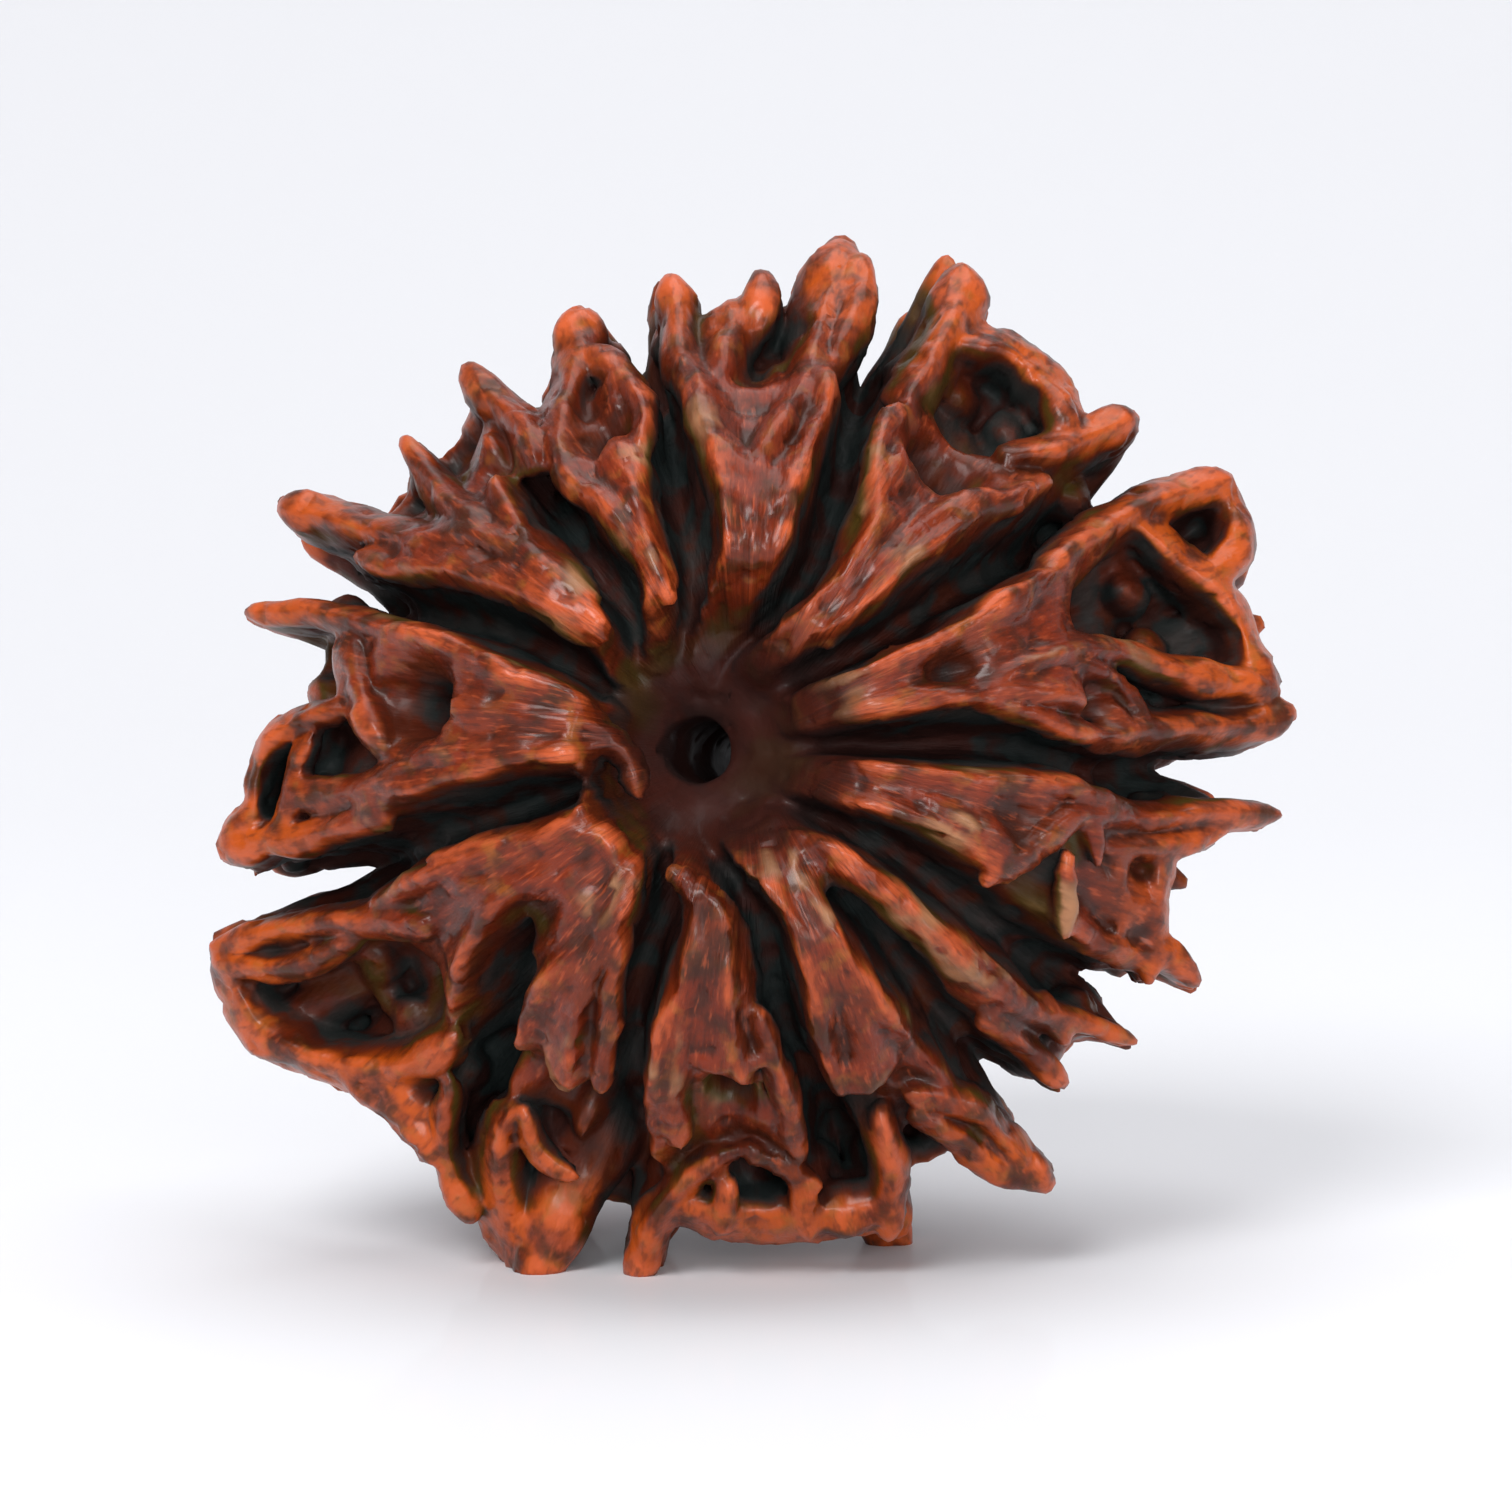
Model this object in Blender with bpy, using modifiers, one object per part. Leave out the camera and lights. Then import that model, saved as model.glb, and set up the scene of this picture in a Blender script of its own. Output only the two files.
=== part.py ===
"""Rudraksha bead: the ribbed stone of the rudraksha fruit, standing on the thorns of its waist.

The stone is one piece. Deep clefts run over it from one mouth of the thread hole to the other and
part it into faces. Each face is smooth beside the hole and breaks up into ridges and thorns towards
the waist. It is modelled in bead axes, in millimetres, with the thread hole along Z and the clean
end up, and is then stood on edge with that end towards -Y, leaning back a little.
"""

import math

import bmesh
import bpy
import numpy as np
from mathutils import Matrix, Vector, noise

MM = 0.001

# The stone under its clefts, and the thread hole, which runs through it at a slight slant and
# opens in a bowl at each end. The faces run down into the bowl as faint ridges.
CORE_RADIUS = 9.2
CORE_HALF_LENGTH = 7.0
HOLE_RADIUS = 0.85
HOLE_NARROWING = 0.1
HOLE_SLANT = (-1.5, -0.1)
BOWL_RADIUS = 4.2
BOWL_DEPTH = 2.3
BOWL_RIDGES = 0.14

# The faces, as they stand over that core, with a cleft between each two and a valley along each
FLESH_AT_WAIST = 1.5
FLESH_AT_ENDS = 3.1
FLESH_LATITUDE = 60.0
CLEFT_FLOOR = 0.28
CLEFT_WALL = 0.72
CLEFT_RUN_IN = 2.0
CLEFT_FULL_WIDTH_FROM = 6.0
CLEFT_LEAST_WIDTH = 0.45
CLEFT_WANDER = 5.0
EDGE_HEIGHT = 0.3
EDGE_WIDTH = 0.42
VALLEY_FROM = 6.4
VALLEY_RUN_IN = 2.0
VALLEY_DEPTH = 0.35
NOSE_SLOPE = 1.3
NOSE_FALL = 1.2

# Size and height of the broad and of the fine lumps of the surface, and where the fine ones start
BROAD_LUMPS = (2.6, 0.3)
FINE_LUMPS = (1.1, 0.25)
FINE_FROM = 5.5

# Half the section of a crest, across and up, for a radius of 1: a ridge over widening flanks. A crest
# sinks into its face by a share of its radius, and by more of what it has over an ordinary one. A
# round end reaches past its line and narrows by the shares of its radius in DOME.
RIB_SECTION = ((0.0, 1.0), (0.3, 0.8), (0.62, 0.25), (0.92, -0.5), (1.1, -1.3), (0.0, -1.6))
DOME = (0.8, 0.35)
CREST_SINK = 0.3
BROAD_SINK = 1.8
ORDINARY_CREST = 0.5

# The fins that the crests of the clean end turn into: where they leave the faces, how steeply they
# fall to the waist, and the share of their depth and reach at which each lower layer lies
FIN_FROM = 9.8
FIN_SLOPE = 0.9
FIN_LAYERS = ((0.66, 0.985), (0.33, 0.995), (0.02, 0.985))

# How it stands: tilt of the hole, and the floor's distance below the hole's middle
LEAN = 9.0
FLOOR = 12.8

# How finely it is made. The share of the steps along it that lie outside the thread hole is first.
SHARE_OUTSIDE = 0.88
STEPS_AROUND = 256
STEPS_ALONG = 190
VOXEL = 0.2
TRIANGLES = 11700
SEED = 12

# Each cleft: its angle beside the hole and at the waist, and the distance from the axis at which it
# opens. Two of them open late, where neighbouring faces have grown together at their inner ends.
CLEFTS = (
    (68.5, 72.0, 1.9),
    (104.5, 103.0, 1.9),
    (129.0, 121.0, 1.9),
    (153.0, 157.0, 1.9),
    (195.0, 197.0, 2.9),
    (222.0, 231.0, 5.6),
    (246.0, 253.0, 1.9),
    (276.5, 284.0, 1.9),
    (306.5, 308.0, 3.4),
    (325.5, 325.0, 1.9),
    (361.0, 356.5, 1.9),
    (397.0, 395.0, 1.9),
)

# Each face from its cleft on: how far from the axis its smooth inner end stands
NOSES = (4.3, 3.9, 4.0, 2.8, 3.5, 3.5, 3.6, 3.2, 3.2, 3.4, 3.3, 3.3)

# The crests of the clean end, seen from that end with the bead as it stands: the points along each
# one, right of the hole's middle and above it, with the crest's radius there.
CRESTS = (
    # top face
    (
        (0.3, 4.6, 0.45), (0.3, 5.6, 0.6), (0.4, 6.8, 0.6), (1.1, 8.2, 0.45), (1.7, 9.4, 0.45),
        (1.9, 10.6, 0.65), (2.2, 11.7, 1.05), (2.5, 12.7, 0.85),
    ),
    (
        (0.3, 6.4, 0.5), (-0.7, 7.4, 0.5), (-1.2, 8.6, 0.4), (-1.6, 9.9, 0.5), (-1.6, 11.1, 0.6),
        (-1.8, 11.9, 0.5),
    ),
    ((0.4, 10.9, 0.55), (0.5, 12.0, 0.5)),
    ((-0.6, 9.0, 0.8), (-0.5, 10.1, 0.9), (-0.1, 11.0, 0.9)),
    ((2.2, 9.6, 0.4), (2.9, 11.2, 0.5), (3.0, 12.6, 0.5)),
    # upper right face
    (
        (2.2, 2.6, 0.45), (2.4, 3.5, 0.6), (3.0, 4.6, 0.75), (3.4, 5.7, 0.7), (3.3, 6.7, 0.5),
        (3.4, 7.7, 0.42), (3.9, 8.5, 0.35),
    ),
    ((4.1, 8.8, 0.5), (4.8, 9.9, 0.7), (5.4, 11.1, 0.8), (5.6, 12.2, 0.8)),
    ((3.1, 4.2, 0.4), (4.2, 5.2, 0.4), (5.3, 5.9, 0.4), (6.7, 6.1, 0.45)),
    ((6.9, 7.4, 0.5), (8.0, 7.6, 0.6), (9.0, 8.2, 0.6), (9.7, 8.5, 0.6)),
    ((5.9, 10.4, 0.6), (6.8, 10.3, 0.75), (7.5, 9.6, 0.75), (8.0, 8.9, 0.6), (8.2, 8.2, 0.4)),
    # right face
    ((3.1, 1.5, 0.4), (3.8, 1.9, 0.45), (4.7, 2.3, 0.35), (5.7, 2.9, 0.35), (6.8, 3.4, 0.35)),
    (
        (3.3, 1.3, 0.4), (4.5, 1.1, 0.35), (6.0, 1.0, 0.35), (7.4, 0.6, 0.35), (8.6, 0.2, 0.3),
        (10.0, 0.5, 0.5), (11.5, 0.6, 0.6), (13.0, 0.8, 0.6), (13.9, 1.1, 0.45),
    ),
    (
        (6.2, 1.4, 0.45), (7.2, 2.0, 0.5), (8.4, 2.5, 0.35), (9.6, 2.4, 0.35), (11.2, 1.9, 0.55),
        (13.2, 1.8, 0.5),
    ),
    ((7.8, 4.6, 0.55), (8.7, 5.3, 0.65), (9.9, 6.1, 0.65), (11.1, 6.7, 0.65), (12.3, 7.1, 0.55)),
    (
        (10.0, 5.8, 0.55), (11.0, 5.0, 0.6), (12.0, 4.3, 0.6), (12.7, 3.4, 0.6), (13.0, 2.5, 0.6),
        (13.3, 1.6, 0.6),
    ),
    ((12.3, 7.0, 0.5), (12.7, 6.2, 0.5), (12.7, 5.3, 0.5), (12.2, 4.8, 0.5)),
    ((8.1, 2.1, 0.25), (9.0, 1.9, 0.28), (9.8, 1.3, 0.28), (10.1, 0.5, 0.28)),
    # lower right face
    ((3.2, -0.9, 0.35), (4.4, -1.4, 0.45), (5.6, -2.1, 0.55), (6.4, -2.7, 0.5)),
    (
        (6.1, -3.3, 0.35), (7.1, -2.6, 0.4), (8.1, -1.7, 0.4), (8.9, -1.7, 0.4), (10.2, -1.7, 0.5),
        (11.8, -1.5, 0.5), (13.7, -1.5, 0.35),
    ),
    ((8.6, -1.6, 0.35), (8.8, -2.7, 0.35)),
    ((8.0, -2.9, 0.28), (8.0, -4.6, 0.32)),
    ((9.2, -2.5, 0.5), (10.8, -2.4, 0.4), (12.2, -1.9, 0.3)),
    ((9.3, -2.4, 0.4), (9.5, -3.4, 0.35), (9.5, -4.5, 0.35)),
    ((10.6, -2.4, 0.4), (10.4, -3.4, 0.4), (10.4, -4.6, 0.4), (10.3, -5.6, 0.35)),
    ((8.8, -4.8, 0.35), (9.9, -5.0, 0.45), (10.9, -5.0, 0.5), (11.5, -5.8, 0.3)),
    ((8.9, -3.4, 0.9), (9.9, -4.1, 1.0)),
    # the two narrow faces that have grown together under it
    (
        (1.9, -2.8, 0.4), (2.7, -3.2, 0.4), (3.7, -3.9, 0.45), (4.7, -4.8, 0.55), (5.7, -5.7, 0.6),
        (6.7, -6.4, 0.6), (7.5, -6.6, 0.5), (8.4, -6.7, 0.4), (9.9, -7.3, 0.22),
    ),
    ((6.2, -6.8, 0.4), (7.2, -7.5, 0.4), (8.1, -8.4, 0.25)),
    ((7.5, -6.3, 0.35), (8.1, -7.2, 0.35)),
    (
        (1.8, -2.9, 0.45), (1.6, -3.8, 0.35), (1.8, -4.7, 0.35), (2.3, -5.6, 0.55), (2.8, -6.5, 0.85),
        (3.1, -7.5, 1.0), (3.0, -8.1, 0.7),
    ),
    ((3.4, -9.2, 0.4), (3.7, -10.2, 0.5), (3.7, -11.2, 0.5), (3.7, -12.1, 0.4)),
    ((4.4, -8.6, 0.4), (5.8, -8.8, 0.45), (6.4, -9.6, 0.4), (7.1, -10.3, 0.5), (7.6, -10.8, 0.45)),
    ((4.3, -9.2, 0.3), (5.6, -9.7, 0.4), (6.4, -10.5, 0.5), (7.5, -10.8, 0.4)),
    # bottom face, forked round a deep pit
    (
        (-1.6, -3.3, 0.3), (-0.9, -3.7, 0.4), (-0.4, -4.7, 0.5), (-0.3, -6.0, 0.75),
        (-0.5, -7.2, 0.85),
    ),
    ((0.4, -6.8, 0.35), (0.9, -8.0, 0.35), (1.2, -9.2, 0.35), (1.5, -10.2, 0.3)),
    ((-1.3, -5.8, 0.3), (-1.6, -7.2, 0.35), (-1.7, -8.6, 0.4), (-1.6, -9.7, 0.4)),
    ((-0.9, -7.8, 0.35), (0.3, -7.8, 0.35)),
    ((0.2, -10.0, 0.3), (1.0, -10.4, 0.35), (1.8, -10.9, 0.3)),
    (
        (-0.4, -10.1, 0.4), (-1.4, -10.7, 0.4), (-2.1, -11.5, 0.5), (-2.5, -12.6, 0.5),
        (-2.7, -13.2, 0.4),
    ),
    ((1.5, -11.0, 0.4), (1.7, -12.1, 0.35)),
    ((-0.4, -10.9, 0.35), (-0.5, -12.0, 0.35)),
    ((-1.7, -11.3, 0.7), (0.2, -11.6, 0.85), (2.0, -11.6, 0.85), (3.4, -11.4, 0.7)),
    # lower left, two faces with one wide nose and a raised rim
    (
        (-7.6, -2.8, 0.35), (-6.3, -2.5, 0.35), (-5.0, -2.4, 0.4), (-3.9, -2.2, 0.4),
        (-3.2, -2.5, 0.42), (-3.0, -3.3, 0.4), (-3.1, -4.8, 0.36), (-3.2, -6.6, 0.36),
        (-3.5, -8.3, 0.36),
    ),
    ((-4.3, -3.4, 0.8), (-4.2, -5.2, 0.9), (-4.1, -6.8, 0.95), (-4.3, -7.9, 0.85)),
    ((-7.0, -3.4, 0.5), (-5.8, -3.4, 0.7), (-4.6, -3.2, 0.6)),
    (
        (-8.0, -4.4, 0.4), (-9.4, -4.2, 0.5), (-10.8, -4.3, 0.45), (-12.2, -4.5, 0.4),
        (-13.6, -4.8, 0.3),
    ),
    ((-9.9, -4.8, 0.35), (-11.4, -5.4, 0.4), (-12.6, -5.4, 0.4), (-13.4, -5.2, 0.4)),
    ((-13.5, -4.8, 0.3), (-12.9, -6.1, 0.65), (-12.3, -7.1, 0.75), (-11.4, -7.4, 0.6)),
    (
        (-11.8, -7.3, 0.5), (-10.6, -7.8, 0.65), (-9.2, -8.0, 0.8), (-8.0, -7.8, 0.65),
        (-7.2, -7.2, 0.4),
    ),
    ((-9.8, -8.5, 0.35), (-8.6, -9.2, 0.4), (-7.8, -10.2, 0.4)),
    ((-9.1, -8.3, 0.8), (-8.2, -8.9, 0.8)),
    ((-7.4, -8.4, 0.3), (-7.6, -9.6, 0.35), (-7.4, -10.8, 0.4), (-7.0, -11.6, 0.4)),
    (
        (-5.9, -9.2, 0.45), (-6.2, -10.3, 0.7), (-6.0, -11.5, 0.9), (-5.5, -12.6, 0.8),
        (-5.3, -13.1, 0.6),
    ),
    ((-5.5, -9.1, 0.3), (-5.3, -9.9, 0.32), (-4.7, -10.5, 0.35), (-4.2, -10.7, 0.3)),
    # left face, which ends in a hook
    (
        (-2.6, -1.2, 0.35), (-2.8, -0.3, 0.45), (-3.7, 0.4, 0.45), (-5.1, 1.2, 0.4),
        (-6.6, 2.0, 0.4), (-7.8, 2.6, 0.4), (-8.8, 2.9, 0.4), (-10.3, 3.5, 0.4), (-12.6, 3.7, 0.28),
    ),
    (
        (-3.6, -0.1, 0.4), (-5.0, -0.1, 0.35), (-6.5, -0.2, 0.35), (-8.0, -0.3, 0.4),
        (-8.9, -0.9, 0.5), (-10.2, -1.2, 0.55), (-11.3, -1.0, 0.4),
    ),
    ((-4.6, 0.5, 0.5), (-5.8, 0.7, 0.7), (-6.8, 0.8, 0.5)),
    ((-9.8, 3.1, 0.6), (-9.7, 2.0, 0.6), (-9.4, 1.0, 0.5), (-9.0, 0.2, 0.35)),
    (
        (-10.2, 1.0, 0.35), (-11.3, 0.8, 0.4), (-12.1, 0.2, 0.45), (-12.4, -0.6, 0.35),
        (-12.4, -1.5, 0.3), (-13.1, -2.3, 0.6),
    ),
    (
        (-10.8, 0.5, 0.3), (-11.2, -0.3, 0.35), (-11.3, -1.3, 0.35), (-11.9, -2.2, 0.4),
        (-13.0, -2.4, 0.6),
    ),
    ((-9.0, -1.8, 0.4), (-10.4, -2.0, 0.4), (-11.8, -2.3, 0.4)),
    # upper left face
    (
        (-3.5, 2.5, 0.35), (-4.4, 3.2, 0.45), (-5.6, 3.8, 0.4), (-7.0, 4.3, 0.4), (-8.4, 4.6, 0.4),
        (-9.6, 4.9, 0.4),
    ),
    (
        (-3.9, 3.6, 0.5), (-5.2, 4.7, 0.7), (-6.6, 5.3, 0.8), (-8.0, 5.2, 0.5), (-9.4, 5.6, 0.6),
        (-10.7, 6.1, 0.65), (-11.6, 6.4, 0.55),
    ),
    ((-6.6, 5.6, 0.5), (-7.4, 6.2, 0.55), (-8.0, 7.1, 0.45), (-8.5, 7.9, 0.3)),
    ((-5.2, 7.2, 0.5), (-5.4, 8.1, 0.5), (-6.1, 8.7, 0.58), (-6.9, 9.6, 0.48)),
    # the face between it and the top one
    ((-1.9, 3.7, 0.4), (-2.3, 4.8, 0.5), (-2.7, 6.0, 0.7), (-3.0, 7.2, 0.7)),
    (
        (-2.5, 4.9, 0.35), (-3.4, 5.9, 0.35), (-4.4, 6.6, 0.35), (-4.6, 7.7, 0.45),
        (-4.3, 9.2, 0.65), (-4.1, 10.2, 0.7), (-4.1, 10.9, 0.65),
    ),
    ((-2.5, 7.4, 0.35), (-2.5, 8.6, 0.4), (-3.0, 9.3, 0.45), (-3.7, 10.0, 0.5)),
)

# Each hollow in the clean end: right of the hole's middle and above it, its radius and depth
HOLLOWS = (
    (-0.1, 10.2, 0.9, 0.6),
    (5.1, 7.6, 1.0, 2.4),
    (6.5, 9.2, 1.1, 2.6),
    (10.3, 3.6, 1.7, 2.8),
    (5.2, 1.8, 0.6, 0.8),
    (8.9, 1.1, 0.5, 1.2),
    (7.4, -3.9, 0.9, 1.8),
    (2.5, -9.3, 0.8, 1.8),
    (5.2, -7.3, 0.9, 1.8),
    (5.2, -10.1, 0.7, 1.6),
    (-0.2, -8.9, 0.6, 2.2),
    (-4.3, -9.2, 0.7, 1.6),
    (-6.0, -8.0, 0.7, 1.2),
    (-10.3, -6.3, 1.3, 2.6),
    (-9.0, -6.5, 0.9, 2.0),
    (-8.3, 1.1, 0.8, 2.6),
    (-9.9, 0.1, 0.7, 1.6),
    (-3.4, 8.0, 0.6, 1.2),
    (-4.0, 6.6, 0.3, 0.5),
    (-8.1, 6.0, 0.5, 0.8),
    (-6.2, 7.1, 0.5, 1.0),
)

# Each row of thorns: angle of the root and of the tip at the waist, distance of the tip from the
# axis, and radius of the root and of the tip.
ROWS = (
    (5.0, 4.7, 14.2, 1.5, 0.55),
    (14.0, 14.8, 13.9, 1.6, 0.65),
    (22.5, 23.4, 14.1, 1.5, 0.65),
    (28.0, 31.2, 14.5, 1.6, 0.45),
    (39.0, 41.5, 13.5, 1.2, 0.6),
    (51.0, 50.2, 12.5, 1.3, 0.6),
    (58.5, 58.0, 12.9, 1.3, 0.55),
    (66.0, 67.6, 14.1, 1.3, 0.55),
    (80.0, 79.1, 13.7, 1.6, 0.9),
    (89.0, 88.2, 12.3, 1.0, 0.45),
    (100.0, 99.7, 12.6, 1.2, 0.45),
    (110.0, 109.2, 12.1, 1.4, 0.5),
    (127.0, 125.4, 12.4, 1.1, 0.38),
    (139.5, 136.8, 11.9, 1.1, 0.3),
    (150.0, 150.9, 13.8, 1.1, 0.5),
    (162.0, 163.0, 13.3, 1.0, 0.32),
    (172.0, 173.5, 11.3, 1.2, 0.5),
    (180.5, 180.0, 12.4, 1.1, 0.5),
    (189.0, 190.6, 13.3, 1.0, 0.5),
    (203.0, 198.6, 14.5, 1.1, 0.5),
    (210.0, 210.5, 14.7, 1.5, 0.65),
    (219.0, 218.7, 13.5, 1.4, 0.65),
    (228.5, 229.4, 12.7, 1.4, 0.65),
    (239.0, 238.3, 13.3, 1.4, 0.6),
    (246.5, 248.1, 14.3, 1.5, 0.55),
    (261.0, 259.0, 13.7, 1.1, 0.5),
    (271.0, 270.5, 12.3, 1.2, 0.7),
    (279.0, 279.0, 12.4, 1.2, 0.75),
    (289.0, 288.3, 12.9, 1.2, 0.65),
    (300.0, 306.0, 13.3, 1.4, 0.5),
    (314.0, 313.8, 11.8, 1.1, 0.28),
    (323.0, 323.5, 12.5, 1.2, 0.28),
    (336.0, 333.0, 13.1, 1.4, 0.35),
    (345.0, 344.5, 11.9, 1.3, 0.5),
    (353.0, 353.5, 13.9, 1.4, 0.32),
)

# Latitudes of the thorns in a row and their length, as a share of the one at the waist, and how far
# a thorn may stand off its row, lean along it, and be longer or slimmer than its share
THORN_STEPS = ((0, 1.0), (-13, 0.82), (-27, 0.68), (-42, 0.5), (-57, 0.3))
THORN_ROOT_DEPTH = 0.9
THORN_SHIFT = 1.8
THORN_CLIMB = 5.0
THORN_STRETCH = (0.8, 1.1)
THORN_SLIM = (0.75, 0.95)

# Latitudes of the points along a keel, how far it sinks into the stone, its wander and its radius
KEEL_LATITUDES = (12, 2, -8, -20, -32, -45, -58)
KEEL_SINK = 0.5
KEEL_WANDER = 1.6
KEEL_RADIUS = (0.25, 0.45)

# Latitudes of the bridges between two rows, how far they run askew, and their radii
BRIDGE_LATITUDES = (4, -7, -20, -34, -48)
BRIDGE_START = 4.0
BRIDGE_END = 9.0
BRIDGE_BULGE = (-0.1, 0.35)
BRIDGE_SINK = 0.2
BRIDGE_RADII = (0.55, 0.42, 0.42, 0.55)

# The walls behind the open fins of the waist: from one angle to another, at that distance
WEBS = (
    (18.0, 30.0, 12.9),
    (22.0, 28.0, 13.5),
    (44.0, 62.0, 11.4),
    (110.0, 116.0, 10.6),
    (177.0, 191.0, 11.9),
    (201.0, 212.0, 13.2),
    (206.0, 222.0, 12.4),
    (218.0, 232.0, 12.0),
    (228.0, 240.0, 11.2),
    (219.0, 229.0, 11.0),
    (261.0, 286.0, 11.5),
    (250.0, 257.0, 11.2),
    (333.0, 341.0, 11.0),
)
WEB_RADIUS = 0.75
WEB_LEVEL = -0.9

# Each thorn that the bead stands on: right of the hole's middle, along the hole, and radius
FEET = (
    (-5.4, 1.2, 0.7),
    (-2.6, 0.5, 0.5),
    (3.9, -2.7, 0.6),
    (-5.1, -4.6, 0.65),
)
FOOT_PAST_FLOOR = 0.3
FOOT_TAPER = ((0.66, 2.3), (0.78, 1.7), (0.9, 1.25), (1.0, 0.95))


def eased(share):
    """0 to 1, with a soft start and end."""
    share = np.clip(share, 0.0, 1.0)
    return share * share * (3.0 - 2.0 * share)


def place(angle, latitude, height):
    """The point in bead axes that stands at that height over the core, angles in degrees."""
    angle, latitude = np.radians(angle), np.radians(latitude)
    out, up = np.cos(latitude) / CORE_RADIUS, np.sin(latitude) / CORE_HALF_LENGTH
    slope = np.hypot(out, up)
    radius = CORE_RADIUS * np.cos(latitude) + height * out / slope
    return np.stack(
        (
            radius * np.cos(angle),
            radius * np.sin(angle),
            CORE_HALF_LENGTH * np.sin(latitude) + height * up / slope,
        ),
        axis=-1,
    )


def flesh(latitude):
    """How high a face stands over the core."""
    grown = eased(np.abs(latitude) / FLESH_LATITUDE)
    return FLESH_AT_WAIST + (FLESH_AT_ENDS - FLESH_AT_WAIST) * grown


def level(radius):
    """How far above the waist the clean end's crests lie at that distance from the axis."""
    latitudes = np.arange(89.0, -1.0, -1.0)
    tops = place(0.0, latitudes, flesh(latitudes))
    face = np.interp(min(radius, FIN_FROM), tops[:, 0], tops[:, 2])
    fallen = NOSE_FALL * eased((BOWL_RADIUS - radius) / NOSE_SLOPE)
    return face - fallen - FIN_SLOPE * max(0.0, radius - FIN_FROM)


def cleft_angles(latitude):
    """The angle of every cleft at each latitude. On the hidden end they wander at random."""
    draw = np.random.default_rng(SEED)
    found = []
    for beside_hole, at_waist, _ in CLEFTS:
        towards_clean = eased((latitude - 15.0) / 40.0)
        towards_hidden = eased((-latitude - 10.0) / 60.0)
        found.append(
            at_waist
            + (beside_hole - at_waist) * towards_clean
            + draw.uniform(-CLEFT_WANDER, CLEFT_WANDER) * towards_hidden
        )
    return np.array(found)


def roughness(points, size, seed):
    """Smooth random numbers from about -1 to 1 over the points, with lumps of that size."""
    shift = Vector((seed * 7.3, seed * 3.1, seed * 5.7))
    return np.array([noise.noise(Vector(p) / size + shift) for p in points])


def relief(angle, latitude):
    """Height of the surface over the core: faces with raised edges, clefts, hollows and the bowl."""
    crest = place(angle, latitude, flesh(latitude))
    radius = np.hypot(crest[:, 0], crest[:, 1])
    angles = cleft_angles(latitude)
    past = (angle - angles) % 360.0
    short = (angles - angle) % 360.0
    width = np.clip(radius / CLEFT_FULL_WIDTH_FROM, CLEFT_LEAST_WIDTH, 1.0)
    millimetres = np.radians(np.minimum(past, short)) * radius / width
    opens = np.array([cleft[2] for cleft in CLEFTS])[:, None]
    opened = eased((radius - opens) / CLEFT_RUN_IN)
    trench = opened * (1.0 - eased((millimetres - CLEFT_FLOOR) / CLEFT_WALL))
    edge = opened * np.exp(-(((millimetres - CLEFT_FLOOR - CLEFT_WALL) / EDGE_WIDTH) ** 2))
    nose = np.array(NOSES)[np.argmin(past, axis=0)]
    risen = BOWL_RIDGES + (1.0 - BOWL_RIDGES) * eased((radius - nose) / NOSE_SLOPE + 0.7)
    off_middle = np.abs(past.min(axis=0) - short.min(axis=0)) / (past.min(axis=0) + short.min(axis=0))
    valley = eased((radius - VALLEY_FROM) / VALLEY_RUN_IN) * (1.0 - eased(2.0 * off_middle - 0.2))
    height = flesh(latitude) * risen * (1.0 - trench.max(axis=0))
    height += EDGE_HEIGHT * edge.max(axis=0) * risen - VALLEY_DEPTH * valley
    for x, y, size, depth in HOLLOWS:
        away = np.linalg.norm(crest - (x, y, level(math.hypot(x, y))), axis=1) / size
        height -= depth * np.exp(-(away**2)) * (1.0 - trench.max(axis=0))
    height += BROAD_LUMPS[1] * roughness(crest, BROAD_LUMPS[0], 1) * risen
    height += FINE_LUMPS[1] * roughness(crest, FINE_LUMPS[0], 2) * eased((radius - FINE_FROM) / 4.0)
    height -= BOWL_DEPTH * eased((BOWL_RADIUS - radius) / BOWL_RADIUS)
    return height


def stone_mesh():
    """The stone without its thorns: a torus whose ring becomes the stone and whose hole the thread's."""
    bpy.ops.mesh.primitive_torus_add(
        major_segments=STEPS_AROUND, minor_segments=STEPS_ALONG, major_radius=1.0, minor_radius=0.5
    )
    ring = bpy.context.object
    points = np.empty(len(ring.data.vertices) * 3)
    ring.data.vertices.foreach_get("co", points)
    x, y, z = points.reshape(-1, 3).T
    angle = np.degrees(np.arctan2(y, x)) % 360.0
    loop = np.arctan2(z, np.hypot(x, y) - 1.0) / math.pi
    last = math.degrees(math.acos(HOLE_RADIUS / CORE_RADIUS))
    latitude = np.clip(loop / SHARE_OUTSIDE, -1.0, 1.0) * last
    placed = place(angle, latitude, relief(angle, latitude))
    inside = np.abs(loop) > SHARE_OUTSIDE
    mouth = np.clip((1.0 - np.abs(loop)) / (1.0 - SHARE_OUTSIDE), 0.0, 1.0)
    flare = HOLE_RADIUS * (1.0 - HOLE_NARROWING * (1.0 - mouth))
    wall = np.stack(
        (
            flare * np.cos(np.radians(angle)),
            flare * np.sin(np.radians(angle)),
            np.sign(loop) * mouth * (CORE_HALF_LENGTH - BOWL_DEPTH),
        ),
        axis=-1,
    )
    placed[inside] = wall[inside]
    near = 1.0 - eased((np.hypot(placed[:, 0], placed[:, 1]) - HOLE_RADIUS) / BOWL_RADIUS)
    slant = near * placed[:, 2] / CORE_HALF_LENGTH
    placed[:, 0] += HOLE_SLANT[0] * slant
    placed[:, 1] += HOLE_SLANT[1] * slant
    ring.data.vertices.foreach_set("co", placed.ravel())
    return ring


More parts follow.
